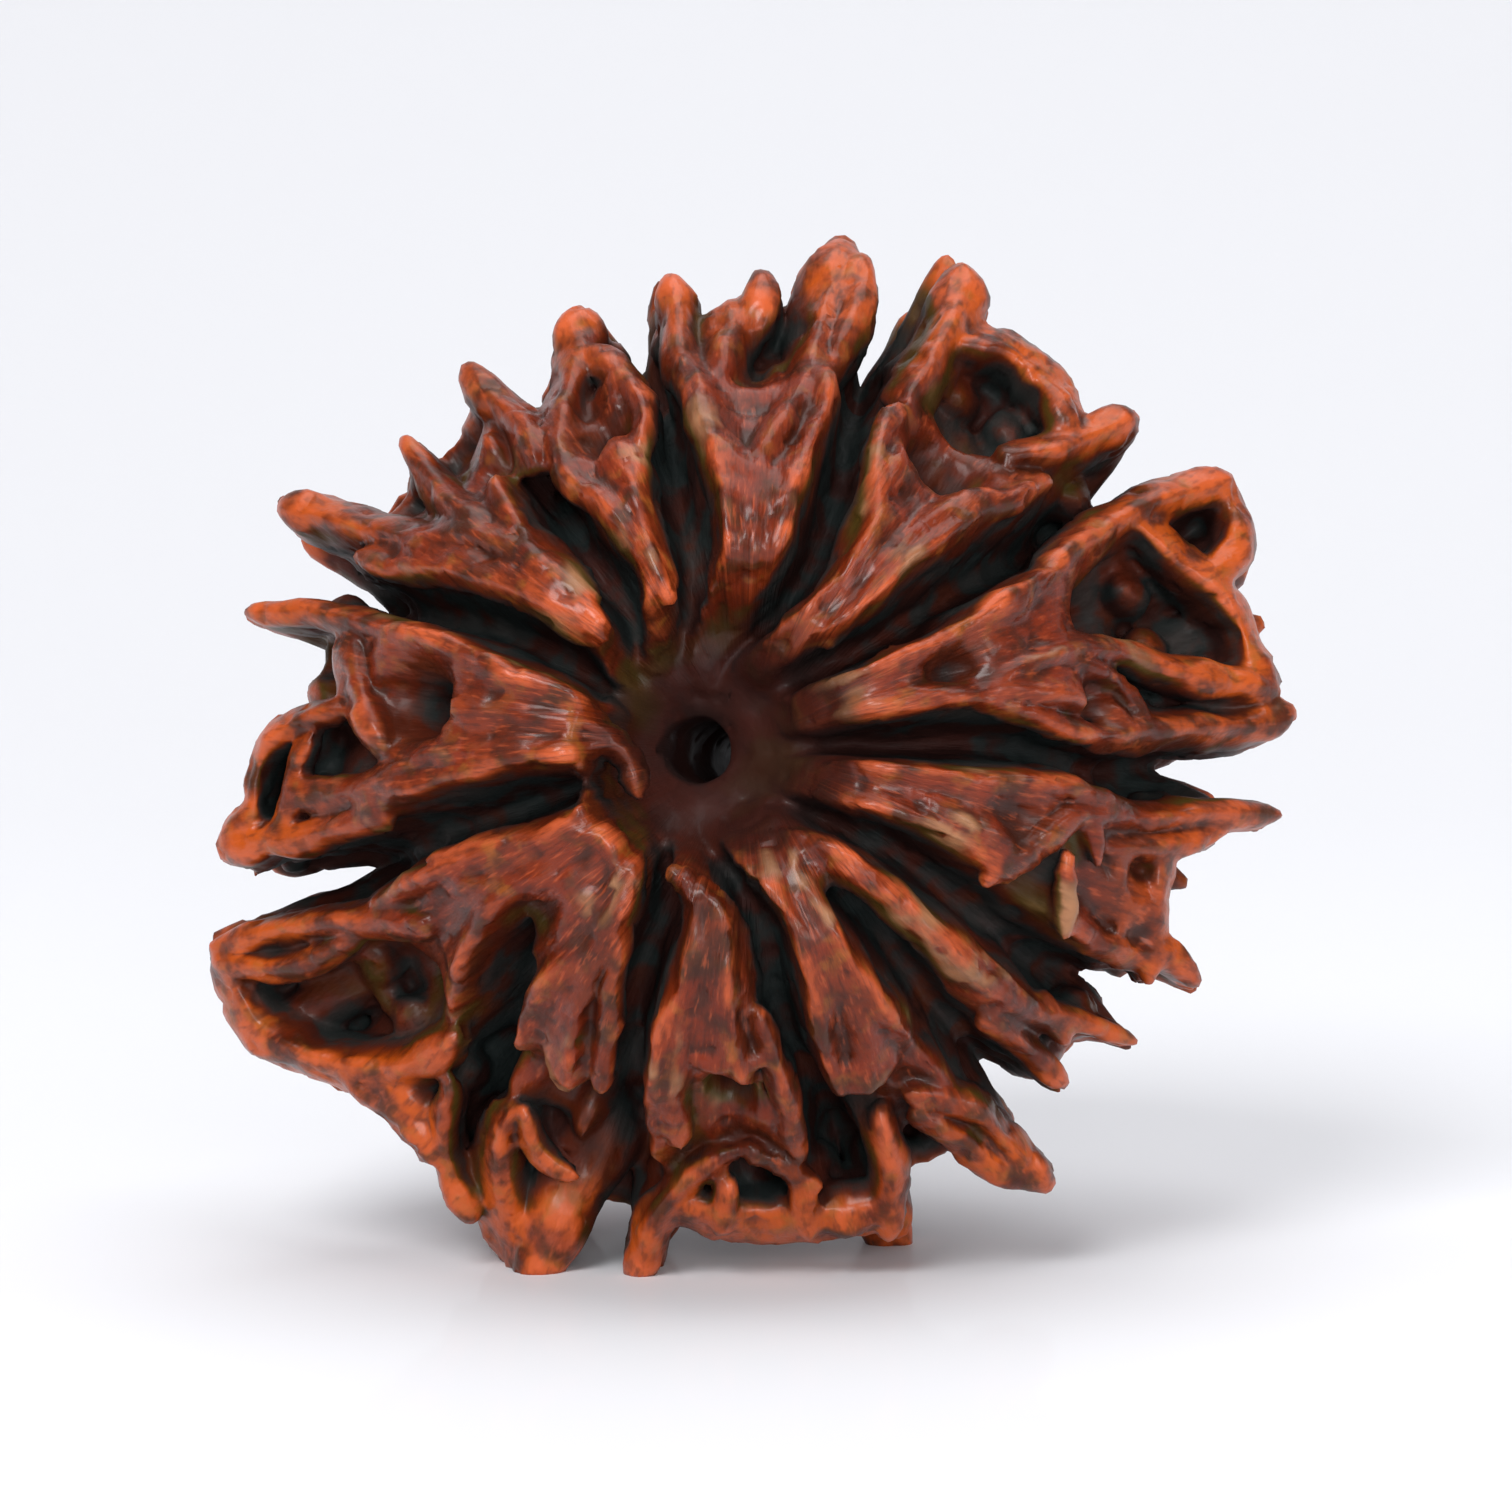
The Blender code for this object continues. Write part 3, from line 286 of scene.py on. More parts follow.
# Each crest's points, right of the hole's middle and above it, with the crest's radius there
CRESTS = (
    # top face
    (
        (0.3, 4.6, 0.45), (0.3, 5.6, 0.6), (0.4, 6.8, 0.6), (1.1, 8.2, 0.45), (1.7, 9.4, 0.45),
        (1.9, 10.6, 0.65), (2.2, 11.7, 1.05), (2.5, 12.7, 0.85),
    ),
    (
        (0.3, 6.4, 0.5), (-0.7, 7.4, 0.5), (-1.2, 8.6, 0.4), (-1.6, 9.9, 0.5), (-1.6, 11.1, 0.6),
        (-1.8, 11.9, 0.5),
    ),
    ((0.4, 10.9, 0.55), (0.5, 12.0, 0.5)),
    ((-0.6, 9.0, 0.8), (-0.5, 10.1, 0.9), (-0.1, 11.0, 0.9)),
    ((2.2, 9.6, 0.4), (2.9, 11.2, 0.5), (3.0, 12.6, 0.5)),
    # upper right face
    (
        (2.2, 2.6, 0.45), (2.4, 3.5, 0.6), (3.0, 4.6, 0.75), (3.4, 5.7, 0.7), (3.3, 6.7, 0.5),
        (3.4, 7.7, 0.42), (3.9, 8.5, 0.35),
    ),
    ((4.1, 8.8, 0.5), (4.8, 9.9, 0.7), (5.4, 11.1, 0.8), (5.6, 12.2, 0.8)),
    ((3.1, 4.2, 0.4), (4.2, 5.2, 0.4), (5.3, 5.9, 0.4), (6.7, 6.1, 0.45)),
    ((6.9, 7.4, 0.5), (8.0, 7.6, 0.6), (9.0, 8.2, 0.6), (9.7, 8.5, 0.6)),
    ((5.9, 10.4, 0.6), (6.8, 10.3, 0.75), (7.5, 9.6, 0.75), (8.0, 8.9, 0.6), (8.2, 8.2, 0.4)),
    # right face
    ((3.1, 1.5, 0.4), (3.8, 1.9, 0.45), (4.7, 2.3, 0.35), (5.7, 2.9, 0.35), (6.8, 3.4, 0.35)),
    (
        (3.3, 1.3, 0.4), (4.5, 1.1, 0.35), (6.0, 1.0, 0.35), (7.4, 0.6, 0.35), (8.6, 0.2, 0.3),
        (10.0, 0.5, 0.5), (11.5, 0.6, 0.6), (13.0, 0.8, 0.6), (13.9, 1.1, 0.45),
    ),
    (
        (6.2, 1.4, 0.45), (7.2, 2.0, 0.5), (8.4, 2.5, 0.35), (9.6, 2.4, 0.35), (11.2, 1.9, 0.55),
        (13.2, 1.8, 0.5),
    ),
    ((7.8, 4.6, 0.55), (8.7, 5.3, 0.65), (9.9, 6.1, 0.65), (11.1, 6.7, 0.65), (12.3, 7.1, 0.55)),
    (
        (10.0, 5.8, 0.55), (11.0, 5.0, 0.6), (12.0, 4.3, 0.6), (12.7, 3.4, 0.6), (13.0, 2.5, 0.6),
        (13.3, 1.6, 0.6),
    ),
    ((12.3, 7.0, 0.5), (12.7, 6.2, 0.5), (12.7, 5.3, 0.5), (12.2, 4.8, 0.5)),
    ((8.1, 2.1, 0.25), (9.0, 1.9, 0.28), (9.8, 1.3, 0.28), (10.1, 0.5, 0.28)),
    # lower right face
    ((3.2, -0.9, 0.35), (4.4, -1.4, 0.45), (5.6, -2.1, 0.55), (6.4, -2.7, 0.5)),
    (
        (6.1, -3.3, 0.35), (7.1, -2.6, 0.4), (8.1, -1.7, 0.4), (8.9, -1.7, 0.4), (10.2, -1.7, 0.5),
        (11.8, -1.5, 0.5), (13.7, -1.5, 0.35),
    ),
    ((8.6, -1.6, 0.35), (8.8, -2.7, 0.35)),
    ((8.0, -2.9, 0.28), (8.0, -4.6, 0.32)),
    ((9.2, -2.5, 0.5), (10.8, -2.4, 0.4), (12.2, -1.9, 0.3)),
    ((9.3, -2.4, 0.4), (9.5, -3.4, 0.35), (9.5, -4.5, 0.35)),
    ((10.6, -2.4, 0.4), (10.4, -3.4, 0.4), (10.4, -4.6, 0.4), (10.3, -5.6, 0.35)),
    ((8.8, -4.8, 0.35), (9.9, -5.0, 0.45), (10.9, -5.0, 0.5), (11.5, -5.8, 0.3)),
    ((8.9, -3.4, 0.9), (9.9, -4.1, 1.0)),
    # the two narrow faces that have grown together under it
    (
        (1.9, -2.8, 0.4), (2.7, -3.2, 0.4), (3.7, -3.9, 0.45), (4.7, -4.8, 0.55), (5.7, -5.7, 0.6),
        (6.7, -6.4, 0.6), (7.5, -6.6, 0.5), (8.4, -6.7, 0.4), (9.9, -7.3, 0.22),
    ),
    ((6.2, -6.8, 0.4), (7.2, -7.5, 0.4), (8.1, -8.4, 0.25)),
    ((7.5, -6.3, 0.35), (8.1, -7.2, 0.35)),
    (
        (1.8, -2.9, 0.45), (1.6, -3.8, 0.35), (1.8, -4.7, 0.35), (2.3, -5.6, 0.55), (2.8, -6.5, 0.85),
        (3.1, -7.5, 1.0), (3.0, -8.1, 0.7),
    ),
    ((3.4, -9.2, 0.4), (3.7, -10.2, 0.5), (3.7, -11.2, 0.5), (3.7, -12.1, 0.4)),
    ((4.4, -8.6, 0.4), (5.8, -8.8, 0.45), (6.4, -9.6, 0.4), (7.1, -10.3, 0.5), (7.6, -10.8, 0.45)),
    ((4.3, -9.2, 0.3), (5.6, -9.7, 0.4), (6.4, -10.5, 0.5), (7.5, -10.8, 0.4)),
    # bottom face, forked round a deep pit
    (
        (-1.6, -3.3, 0.3), (-0.9, -3.7, 0.4), (-0.4, -4.7, 0.5), (-0.3, -6.0, 0.75),
        (-0.5, -7.2, 0.85),
    ),
    ((0.4, -6.8, 0.35), (0.9, -8.0, 0.35), (1.2, -9.2, 0.35), (1.5, -10.2, 0.3)),
    ((-1.3, -5.8, 0.3), (-1.6, -7.2, 0.35), (-1.7, -8.6, 0.4), (-1.6, -9.7, 0.4)),
    ((-0.9, -7.8, 0.35), (0.3, -7.8, 0.35)),
    ((0.2, -10.0, 0.3), (1.0, -10.4, 0.35), (1.8, -10.9, 0.3)),
    (
        (-0.4, -10.1, 0.4), (-1.4, -10.7, 0.4), (-2.1, -11.5, 0.5), (-2.5, -12.6, 0.5),
        (-2.7, -13.2, 0.4),
    ),
    ((1.5, -11.0, 0.4), (1.7, -12.1, 0.35)),
    ((-0.4, -10.9, 0.35), (-0.5, -12.0, 0.35)),
    ((-1.7, -11.3, 0.7), (0.2, -11.6, 0.85), (2.0, -11.6, 0.85), (3.4, -11.4, 0.7)),
    # lower left, two faces with one wide nose and a raised rim
    (
        (-7.6, -2.8, 0.35), (-6.3, -2.5, 0.35), (-5.0, -2.4, 0.4), (-3.9, -2.2, 0.4),
        (-3.2, -2.5, 0.42), (-3.0, -3.3, 0.4), (-3.1, -4.8, 0.36), (-3.2, -6.6, 0.36),
        (-3.5, -8.3, 0.36),
    ),
    ((-4.3, -3.4, 0.8), (-4.2, -5.2, 0.9), (-4.1, -6.8, 0.95), (-4.3, -7.9, 0.85)),
    ((-7.0, -3.4, 0.5), (-5.8, -3.4, 0.7), (-4.6, -3.2, 0.6)),
    (
        (-8.0, -4.4, 0.4), (-9.4, -4.2, 0.5), (-10.8, -4.3, 0.45), (-12.2, -4.5, 0.4),
        (-13.6, -4.8, 0.3),
    ),
    ((-9.9, -4.8, 0.35), (-11.4, -5.4, 0.4), (-12.6, -5.4, 0.4), (-13.4, -5.2, 0.4)),
    ((-13.5, -4.8, 0.3), (-12.9, -6.1, 0.65), (-12.3, -7.1, 0.75), (-11.4, -7.4, 0.6)),
    (
        (-11.8, -7.3, 0.5), (-10.6, -7.8, 0.65), (-9.2, -8.0, 0.8), (-8.0, -7.8, 0.65),
        (-7.2, -7.2, 0.4),
    ),
    ((-9.8, -8.5, 0.35), (-8.6, -9.2, 0.4), (-7.8, -10.2, 0.4)),
    ((-9.1, -8.3, 0.8), (-8.2, -8.9, 0.8)),
    ((-7.4, -8.4, 0.3), (-7.6, -9.6, 0.35), (-7.4, -10.8, 0.4), (-7.0, -11.6, 0.4)),
    (
        (-5.9, -9.2, 0.45), (-6.2, -10.3, 0.7), (-6.0, -11.5, 0.9), (-5.5, -12.6, 0.8),
        (-5.3, -13.1, 0.6),
    ),
    ((-5.5, -9.1, 0.3), (-5.3, -9.9, 0.32), (-4.7, -10.5, 0.35), (-4.2, -10.7, 0.3)),
    # left face, which ends in a hook
    (
        (-2.6, -1.2, 0.35), (-2.8, -0.3, 0.45), (-3.7, 0.4, 0.45), (-5.1, 1.2, 0.4),
        (-6.6, 2.0, 0.4), (-7.8, 2.6, 0.4), (-8.8, 2.9, 0.4), (-10.3, 3.5, 0.4), (-12.6, 3.7, 0.28),
    ),
    (
        (-3.6, -0.1, 0.4), (-5.0, -0.1, 0.35), (-6.5, -0.2, 0.35), (-8.0, -0.3, 0.4),
        (-8.9, -0.9, 0.5), (-10.2, -1.2, 0.55), (-11.3, -1.0, 0.4),
    ),
    ((-4.6, 0.5, 0.5), (-5.8, 0.7, 0.7), (-6.8, 0.8, 0.5)),
    ((-9.8, 3.1, 0.6), (-9.7, 2.0, 0.6), (-9.4, 1.0, 0.5), (-9.0, 0.2, 0.35)),
    (
        (-10.2, 1.0, 0.35), (-11.3, 0.8, 0.4), (-12.1, 0.2, 0.45), (-12.4, -0.6, 0.35),
        (-12.4, -1.5, 0.3), (-13.1, -2.3, 0.6),
    ),
    (
        (-10.8, 0.5, 0.3), (-11.2, -0.3, 0.35), (-11.3, -1.3, 0.35), (-11.9, -2.2, 0.4),
        (-13.0, -2.4, 0.6),
    ),
    ((-9.0, -1.8, 0.4), (-10.4, -2.0, 0.4), (-11.8, -2.3, 0.4)),
    # upper left face
    (
        (-3.5, 2.5, 0.35), (-4.4, 3.2, 0.45), (-5.6, 3.8, 0.4), (-7.0, 4.3, 0.4), (-8.4, 4.6, 0.4),
        (-9.6, 4.9, 0.4),
    ),
    (
        (-3.9, 3.6, 0.5), (-5.2, 4.7, 0.7), (-6.6, 5.3, 0.8), (-8.0, 5.2, 0.5), (-9.4, 5.6, 0.6),
        (-10.7, 6.1, 0.65), (-11.6, 6.4, 0.55),
    ),
    ((-6.6, 5.6, 0.5), (-7.4, 6.2, 0.55), (-8.0, 7.1, 0.45), (-8.5, 7.9, 0.3)),
    ((-5.2, 7.2, 0.5), (-5.4, 8.1, 0.5), (-6.1, 8.7, 0.58), (-6.9, 9.6, 0.48)),
    # the face between it and the top one
    ((-1.9, 3.7, 0.4), (-2.3, 4.8, 0.5), (-2.7, 6.0, 0.7), (-3.0, 7.2, 0.7)),
    (
        (-2.5, 4.9, 0.35), (-3.4, 5.9, 0.35), (-4.4, 6.6, 0.35), (-4.6, 7.7, 0.45),
        (-4.3, 9.2, 0.65), (-4.1, 10.2, 0.7), (-4.1, 10.9, 0.65),
    ),
    ((-2.5, 7.4, 0.35), (-2.5, 8.6, 0.4), (-3.0, 9.3, 0.45), (-3.7, 10.0, 0.5)),
)

lines = []
for crest in CRESTS:
    radii = [radius for _, _, radius in crest]
    levels = [
        level(math.hypot(x, y)) - CREST_SINK * radius - BROAD_SINK * max(0.0, radius - ORDINARY_CREST)
        for x, y, radius in crest
    ]
    lines.append(([(x, y, z) for (x, y, _), z in zip(crest, levels)], radii))
    if max(math.hypot(x, y) for x, y, _ in crest) > FIN_FROM:
        for depth, reach in FIN_LAYERS:
            line = [(x * reach, y * reach, z * depth) for (x, y, _), z in zip(crest, levels)]
            lines.append((line, radii))
ribs, tips = lines, [(line[-2:], radii[-2:]) for line, radii in lines]

# The thorns of the waist and of the hidden end, blunt and bent as they grew between the fibres of the
# fruit. They stand in rows from the waist to the far mouth of the hole, shorter from step to step.
THORN_STEPS = ((0, 1.0), (-13, 0.82), (-27, 0.68), (-42, 0.5), (-57, 0.3))
THORN_ROOT_DEPTH = 0.9
THORN_SHIFT = 1.8
THORN_CLIMB = 5.0
THORN_STRETCH = (0.8, 1.1)
THORN_SLIM = (0.75, 0.95)
# Along a thorn: how far it has bent, how high its two middle points are as shares of its length, how
# much thicker than its root its first two points are, and the root's share in the third one's radius
THORN_BEND = (0.0, 0.3, 0.6, 1.0)
THORN_RISE = (0.3, 0.62)
THORN_FOOT = (1.4, 0.9)
THORN_MIDDLE = 0.35

# Each row: angle of the root and of the tip at the waist, distance of the tip from the axis, and
# radius of the root and of the tip
ROWS = (
    (5.0, 4.7, 14.2, 1.5, 0.55),
    (14.0, 14.8, 13.9, 1.6, 0.65),
    (22.5, 23.4, 14.1, 1.5, 0.65),
    (28.0, 31.2, 14.5, 1.6, 0.45),
    (39.0, 41.5, 13.5, 1.2, 0.6),
    (51.0, 50.2, 12.5, 1.3, 0.6),
    (58.5, 58.0, 12.9, 1.3, 0.55),
    (66.0, 67.6, 14.1, 1.3, 0.55),
    (80.0, 79.1, 13.7, 1.6, 0.9),
    (89.0, 88.2, 12.3, 1.0, 0.45),
    (100.0, 99.7, 12.6, 1.2, 0.45),
    (110.0, 109.2, 12.1, 1.4, 0.5),
    (127.0, 125.4, 12.4, 1.1, 0.38),
    (139.5, 136.8, 11.9, 1.1, 0.3),
    (150.0, 150.9, 13.8, 1.1, 0.5),
    (162.0, 163.0, 13.3, 1.0, 0.32),
    (172.0, 173.5, 11.3, 1.2, 0.5),
    (180.5, 180.0, 12.4, 1.1, 0.5),
    (189.0, 190.6, 13.3, 1.0, 0.5),
    (203.0, 198.6, 14.5, 1.1, 0.5),
    (210.0, 210.5, 14.7, 1.5, 0.65),
    (219.0, 218.7, 13.5, 1.4, 0.65),
    (228.5, 229.4, 12.7, 1.4, 0.65),
    (239.0, 238.3, 13.3, 1.4, 0.6),
    (246.5, 248.1, 14.3, 1.5, 0.55),
    (261.0, 259.0, 13.7, 1.1, 0.5),
    (271.0, 270.5, 12.3, 1.2, 0.7),
    (279.0, 279.0, 12.4, 1.2, 0.75),
    (289.0, 288.3, 12.9, 1.2, 0.65),
    (300.0, 306.0, 13.3, 1.4, 0.5),
    (314.0, 313.8, 11.8, 1.1, 0.28),
    (323.0, 323.5, 12.5, 1.2, 0.28),
    (336.0, 333.0, 13.1, 1.4, 0.35),
    (345.0, 344.5, 11.9, 1.3, 0.5),
    (353.0, 353.5, 13.9, 1.4, 0.32),
)

lines = list(tips)
draw = np.random.default_rng(SEED)
for root, tip, reach, root_radius, tip_radius in ROWS:
    for step, share in THORN_STEPS:
        at_waist = share == 1.0
        shift = 0.0 if at_waist else draw.uniform(-THORN_SHIFT, THORN_SHIFT)
        stretch = 1.0 if at_waist else draw.uniform(*THORN_STRETCH)
        climb = 0.0 if at_waist else draw.uniform(-THORN_CLIMB, THORN_CLIMB)
        slim = THORN_SLIM[0] if at_waist else draw.uniform(*THORN_SLIM)
        length = (reach - CORE_RADIUS) * share * stretch
        rises = [part * length for part in THORN_RISE]
        heights = (-THORN_ROOT_DEPTH, *rises, length - 0.5 * tip_radius)
        middle = THORN_MIDDLE * root_radius + (1.0 - THORN_MIDDLE) * tip_radius
        radii = (*[part * root_radius for part in THORN_FOOT], middle, tip_radius)
        line = [
            place(root + shift + (tip - root) * part, step + climb * part, height)
            for part, height in zip(THORN_BEND, heights)
        ]
        lines.append((line, [radius * slim for radius in radii]))

# The keels and bridges of the stone: a low rib carries each row of thorns to the hidden end, and
# short ribs cross from one row to the next inside a face and leave pits between them.
KEEL_LATITUDES = (12, 2, -8, -20, -32, -45, -58)
KEEL_SINK = 0.5
KEEL_WANDER = 1.6
KEEL_RADIUS = (0.25, 0.45)
KEEL_VARIES = (0.8, 1.2)
KEEL_FADES = 1.35
BRIDGE_LATITUDES = (4, -7, -20, -34, -48)
BRIDGE_START = 4.0
BRIDGE_END = 9.0
BRIDGE_BULGE = (-0.1, 0.35)
BRIDGE_SINK = 0.2
BRIDGE_PLACES = (0.0, 0.35, 0.65, 1.0)
BRIDGE_RADII = (0.55, 0.42, 0.42, 0.55)

draw = np.random.default_rng(SEED + 1)
for root, *_ in ROWS:
    line, radii = [], []
    for step in KEEL_LATITUDES:
        fade = math.cos(math.radians(step * KEEL_FADES))
        wander = draw.uniform(-KEEL_WANDER, KEEL_WANDER)
        line.append(place(root + wander, step, flesh(step) - KEEL_SINK * (1.0 - fade)))
        radii.append(KEEL_RADIUS[0] + KEEL_RADIUS[1] * fade * draw.uniform(*KEEL_VARIES))
    lines.append((line, radii))

draw = np.random.default_rng(SEED + 2)
waist_clefts = [cleft[1] for cleft in CLEFTS]
for (left, *_), (right, *_) in zip(ROWS, ROWS[1:] + ROWS[:1]):
    span = (right - left) % 360.0
    if any((cleft - left) % 360.0 < span for cleft in waist_clefts):
        continue
    for step in BRIDGE_LATITUDES:
        start = step + draw.uniform(-BRIDGE_START, BRIDGE_START)
        end = step + draw.uniform(-BRIDGE_END, BRIDGE_END)
        bulge = draw.uniform(*BRIDGE_BULGE)
        line = [
            place(left + span * part, start + (end - start) * part, flesh(step) + lift)
            for part, lift in zip(BRIDGE_PLACES, (-BRIDGE_SINK, bulge, bulge, -BRIDGE_SINK))
        ]
        lines.append((line, BRIDGE_RADII))

# The walls of the stone behind its open fins: from one angle to another, at that distance from the
# axis. They close the gaps at the waist, where the fins of a face have grown together.
WEBS = (
    (18.0, 30.0, 12.9),
    (22.0, 28.0, 13.5),
    (44.0, 62.0, 11.4),
    (110.0, 116.0, 10.6),
    (177.0, 191.0, 11.9),
    (201.0, 212.0, 13.2),
    (206.0, 222.0, 12.4),
    (218.0, 232.0, 12.0),
    (228.0, 240.0, 11.2),
    (219.0, 229.0, 11.0),
    (261.0, 286.0, 11.5),
    (250.0, 257.0, 11.2),
    (333.0, 341.0, 11.0),
)
WEB_RADIUS = 0.75
WEB_POINTS = 4
WEB_LEVEL = -0.9

for start, end, distance in WEBS:
    turns = np.radians(np.linspace(start, end, WEB_POINTS))
    line = [(distance * math.cos(turn), distance * math.sin(turn), WEB_LEVEL) for turn in turns]
    lines.append((line, [WEB_RADIUS] * len(line)))

# The thorns it stands on, which reach just past the floor and are worn flat there. For each: right
# of the hole's middle, along the hole, and radius.
FEET = (
    (-5.4, 1.2, 0.7),
    (-2.6, 0.5, 0.5),
    (3.9, -2.7, 0.6),
    (-5.1, -4.6, 0.65),
)
FOOT_PAST_FLOOR = 0.3
FOOT_TAPER = ((0.66, 2.3), (0.78, 1.7), (0.9, 1.25), (1.0, 0.95))
LEAN = 9.0
FLOOR = 12.8

lean = math.radians(LEAN)
for x, z, radius in FEET:
    y = -(FLOOR + FOOT_PAST_FLOOR + z * math.sin(lean)) / math.cos(lean)
    line = [(x * share, y * share, z) for share, _ in FOOT_TAPER]
    lines.append((line, [radius * width for _, width in FOOT_TAPER]))

# The skin: stone and thorns are one growth, so all of them are merged into one closed surface, which
# is softened where they meet. Then come the small knobs, wrinkles and pits of the dried skin.
# Half the section of a crest, across and up, for a radius of 1: a ridge over widening flanks
RIB_SECTION = ((0.0, 1.0), (0.3, 0.8), (0.62, 0.25), (0.92, -0.5), (1.1, -1.3), (0.0, -1.6))
VOXEL = 0.11
SOFTENING = 4
MOST_TRIANGLES = 190000
JOINED_WITHIN = 0.0001
TUBE_STEPS = 6
# Each kind of relief: how wide and how high it is, and its seed
KNOBS = (1.3, 0.12, 3)
RIDGELETS = (0.95, 0.10, 6)
WRINKLES = (0.4, 0.045, 4)
PITS = (0.5, 0.06, 5)
PIT_SHARE = 0.25
# Fibres run this many times longer than they are wide, and this much down the stone as they run out
WRINKLE_STRETCH = 4.0
FIBRE_DROP = 0.7
# The thread has rubbed the stone smooth out to this distance from the axis
SMOOTH_TO = 1.8
# A tube's end: how far its dome reaches and how narrow it ends, as shares of the tube's radius
DOME = (0.8, 0.35)


def rounded(line, radii):
    """The line with a point past each end, where its tube closes in a dome."""
    line, radii = [Vector(point) for point in line], list(radii)
    first = line[0] + DOME[0] * radii[0] * (line[0] - line[1]).normalized()
    last = line[-1] + DOME[0] * radii[-1] * (line[-1] - line[-2]).normalized()
    return [first, *line, last], [DOME[1] * radii[0], *radii, DOME[1] * radii[-1]]


def evaluated_mesh(obj):
    """A plain mesh of the object with its modifiers applied."""
    graph = bpy.context.evaluated_depsgraph_get()
    return bpy.data.meshes.new_from_object(obj.evaluated_get(graph))


def grain_of(points):
    """The points as the stone's fibres run: fine across, and drawn out from the hole to the tips."""
    radius, turn = np.hypot(points[:, 0], points[:, 1]), np.arctan2(points[:, 1], points[:, 0])
    outwards = (radius - FIBRE_DROP * points[:, 2]) / WRINKLE_STRETCH
    return np.stack((CORE_RADIUS * np.cos(turn), CORE_RADIUS * np.sin(turn), outwards), axis=-1)


def ridges(points, size, height, seed):
    """Small sharp ridges of that size and height over the points."""
    return height * (0.5 - 2.0 * np.abs(lumps(points, size, seed)))


def corners_of(mesh):
    """The mesh's vertices as rows of numbers."""
    found = np.empty(len(mesh.vertices) * 3)
    mesh.vertices.foreach_get("co", found)
    return found.reshape(-1, 3)


def normals_of(mesh):
    """The direction in which the surface faces at each vertex."""
    found = np.empty(len(mesh.vertices) * 3)
    mesh.vertex_normals.foreach_get("vector", found)
    return found.reshape(-1, 3)


def tubes_of(lines, section=None):
    """All these lines in one curve, as tubes with the radius given at each of their points.

    They are round, or have the section given, held upright, and then end square in their round tips.
    """
    curve = bpy.data.curves.new("thorns", "CURVE")
    curve.dimensions = "3D"
    curve.twist_mode = "Z_UP"
    curve.bevel_mode = "OBJECT" if section else "ROUND"
    curve.bevel_object = section
    curve.bevel_depth = 1.0
    curve.bevel_resolution = 3
    curve.resolution_u = TUBE_STEPS
    curve.use_fill_caps = True
    for line, radii in lines:
        line, radii = rounded(line, radii)
        if section:
            line, radii = line[:-1], radii[:-1]
        spline = curve.splines.new("NURBS")
        spline.points.add(len(line) - 1)
        for point, spot, radius in zip(spline.points, line, radii):
            point.co = (*spot, 1.0)
            point.radius = radius
        spline.order_u = 3
        spline.use_endpoint_u = True
    tubes = bpy.data.objects.new("thorns", curve)
    bpy.context.collection.objects.link(tubes)
    return tubes


outline = bpy.data.curves.new("rib section", "CURVE")
spline = outline.splines.new("POLY")
spline.points.add(2 * len(RIB_SECTION) - 3)
spline.use_cyclic_u = True
other_half = [(-across, up) for across, up in RIB_SECTION[-2:0:-1]]
for point, (across, up) in zip(spline.points, [*RIB_SECTION, *other_half]):
    point.co = (across, up, 0.0, 1.0)
section = bpy.data.objects.new("rib section", outline)
bpy.context.collection.objects.link(section)
rib_tubes = tubes_of(ribs, section)
thorns = tubes_of(lines)

merged = bmesh.new()
for mesh in (stone.data, evaluated_mesh(rib_tubes), evaluated_mesh(thorns)):
    merged.from_mesh(mesh)
bmesh.ops.remove_doubles(merged, verts=merged.verts, dist=JOINED_WITHIN)
skin = bpy.data.meshes.new("rudraksha_stone")
merged.to_mesh(skin)
merged.free()
for guide in (stone, section, rib_tubes, thorns):
    bpy.data.objects.remove(guide)
bead = bpy.data.objects.new("rudraksha_stone", skin)
bpy.context.collection.objects.link(bead)
remesh = bead.modifiers.new("one skin", "REMESH")
remesh.mode = "VOXEL"
remesh.voxel_size = VOXEL
soften = bead.modifiers.new("soften", "SMOOTH")
soften.factor = 0.5
soften.iterations = SOFTENING
bead.data = evaluated_mesh(bead)
bead.modifiers.clear()

points = corners_of(bead.data)
grain = grain_of(points)
outside = eased((np.hypot(points[:, 0], points[:, 1]) - SMOOTH_TO) / SMOOTH_TO)
size, height, seed = KNOBS
rise = height * lumps(points, size, seed)
rise += ridges(grain, *RIDGELETS) * outside
rise += ridges(grain, *WRINKLES) * outside
size, height, seed = PITS
rise -= height * eased((lumps(points, size, seed) - PIT_SHARE) / PIT_SHARE)
points += normals_of(bead.data) * rise[:, None]
bead.data.vertices.foreach_set("co", points.ravel())
thin = bead.modifiers.new("thin out", "DECIMATE")
thin.ratio = MOST_TRIANGLES / (2 * len(bead.data.polygons))
bead.data = evaluated_mesh(bead)
bead.modifiers.clear()

# What wear and oil follow on the stone, and where painted shade darkens it. A hand rubs its crests and
# never reaches its clefts, which are left dull and take painted shade by how little they see round
# them, so each corner keeps how open it is, how much it stands out, and where the fibres run.
SIGHT = 5.0
SIGHT_LINES = 48
SIGHT_START = 0.03
# For sharp edges and for whole ridges: how many times a vertex takes its neighbours' mean to find the
# level round it, how far a full ridge stands over that level, and how often the result is evened
RIDGE_STEPS = (6, 60)
RIDGE_HEIGHTS = (0.06, 0.55)
RIDGE_BLURS = (1, 6)


def keep(mesh, name, values):
    """Stores one number, or one vector, for each vertex under that name."""
    kind, field = ("FLOAT", "value") if values.ndim == 1 else ("FLOAT_VECTOR", "vector")
    mesh.attributes.new(name, kind, "POINT").data.foreach_set(field, values.astype(np.float32).ravel())


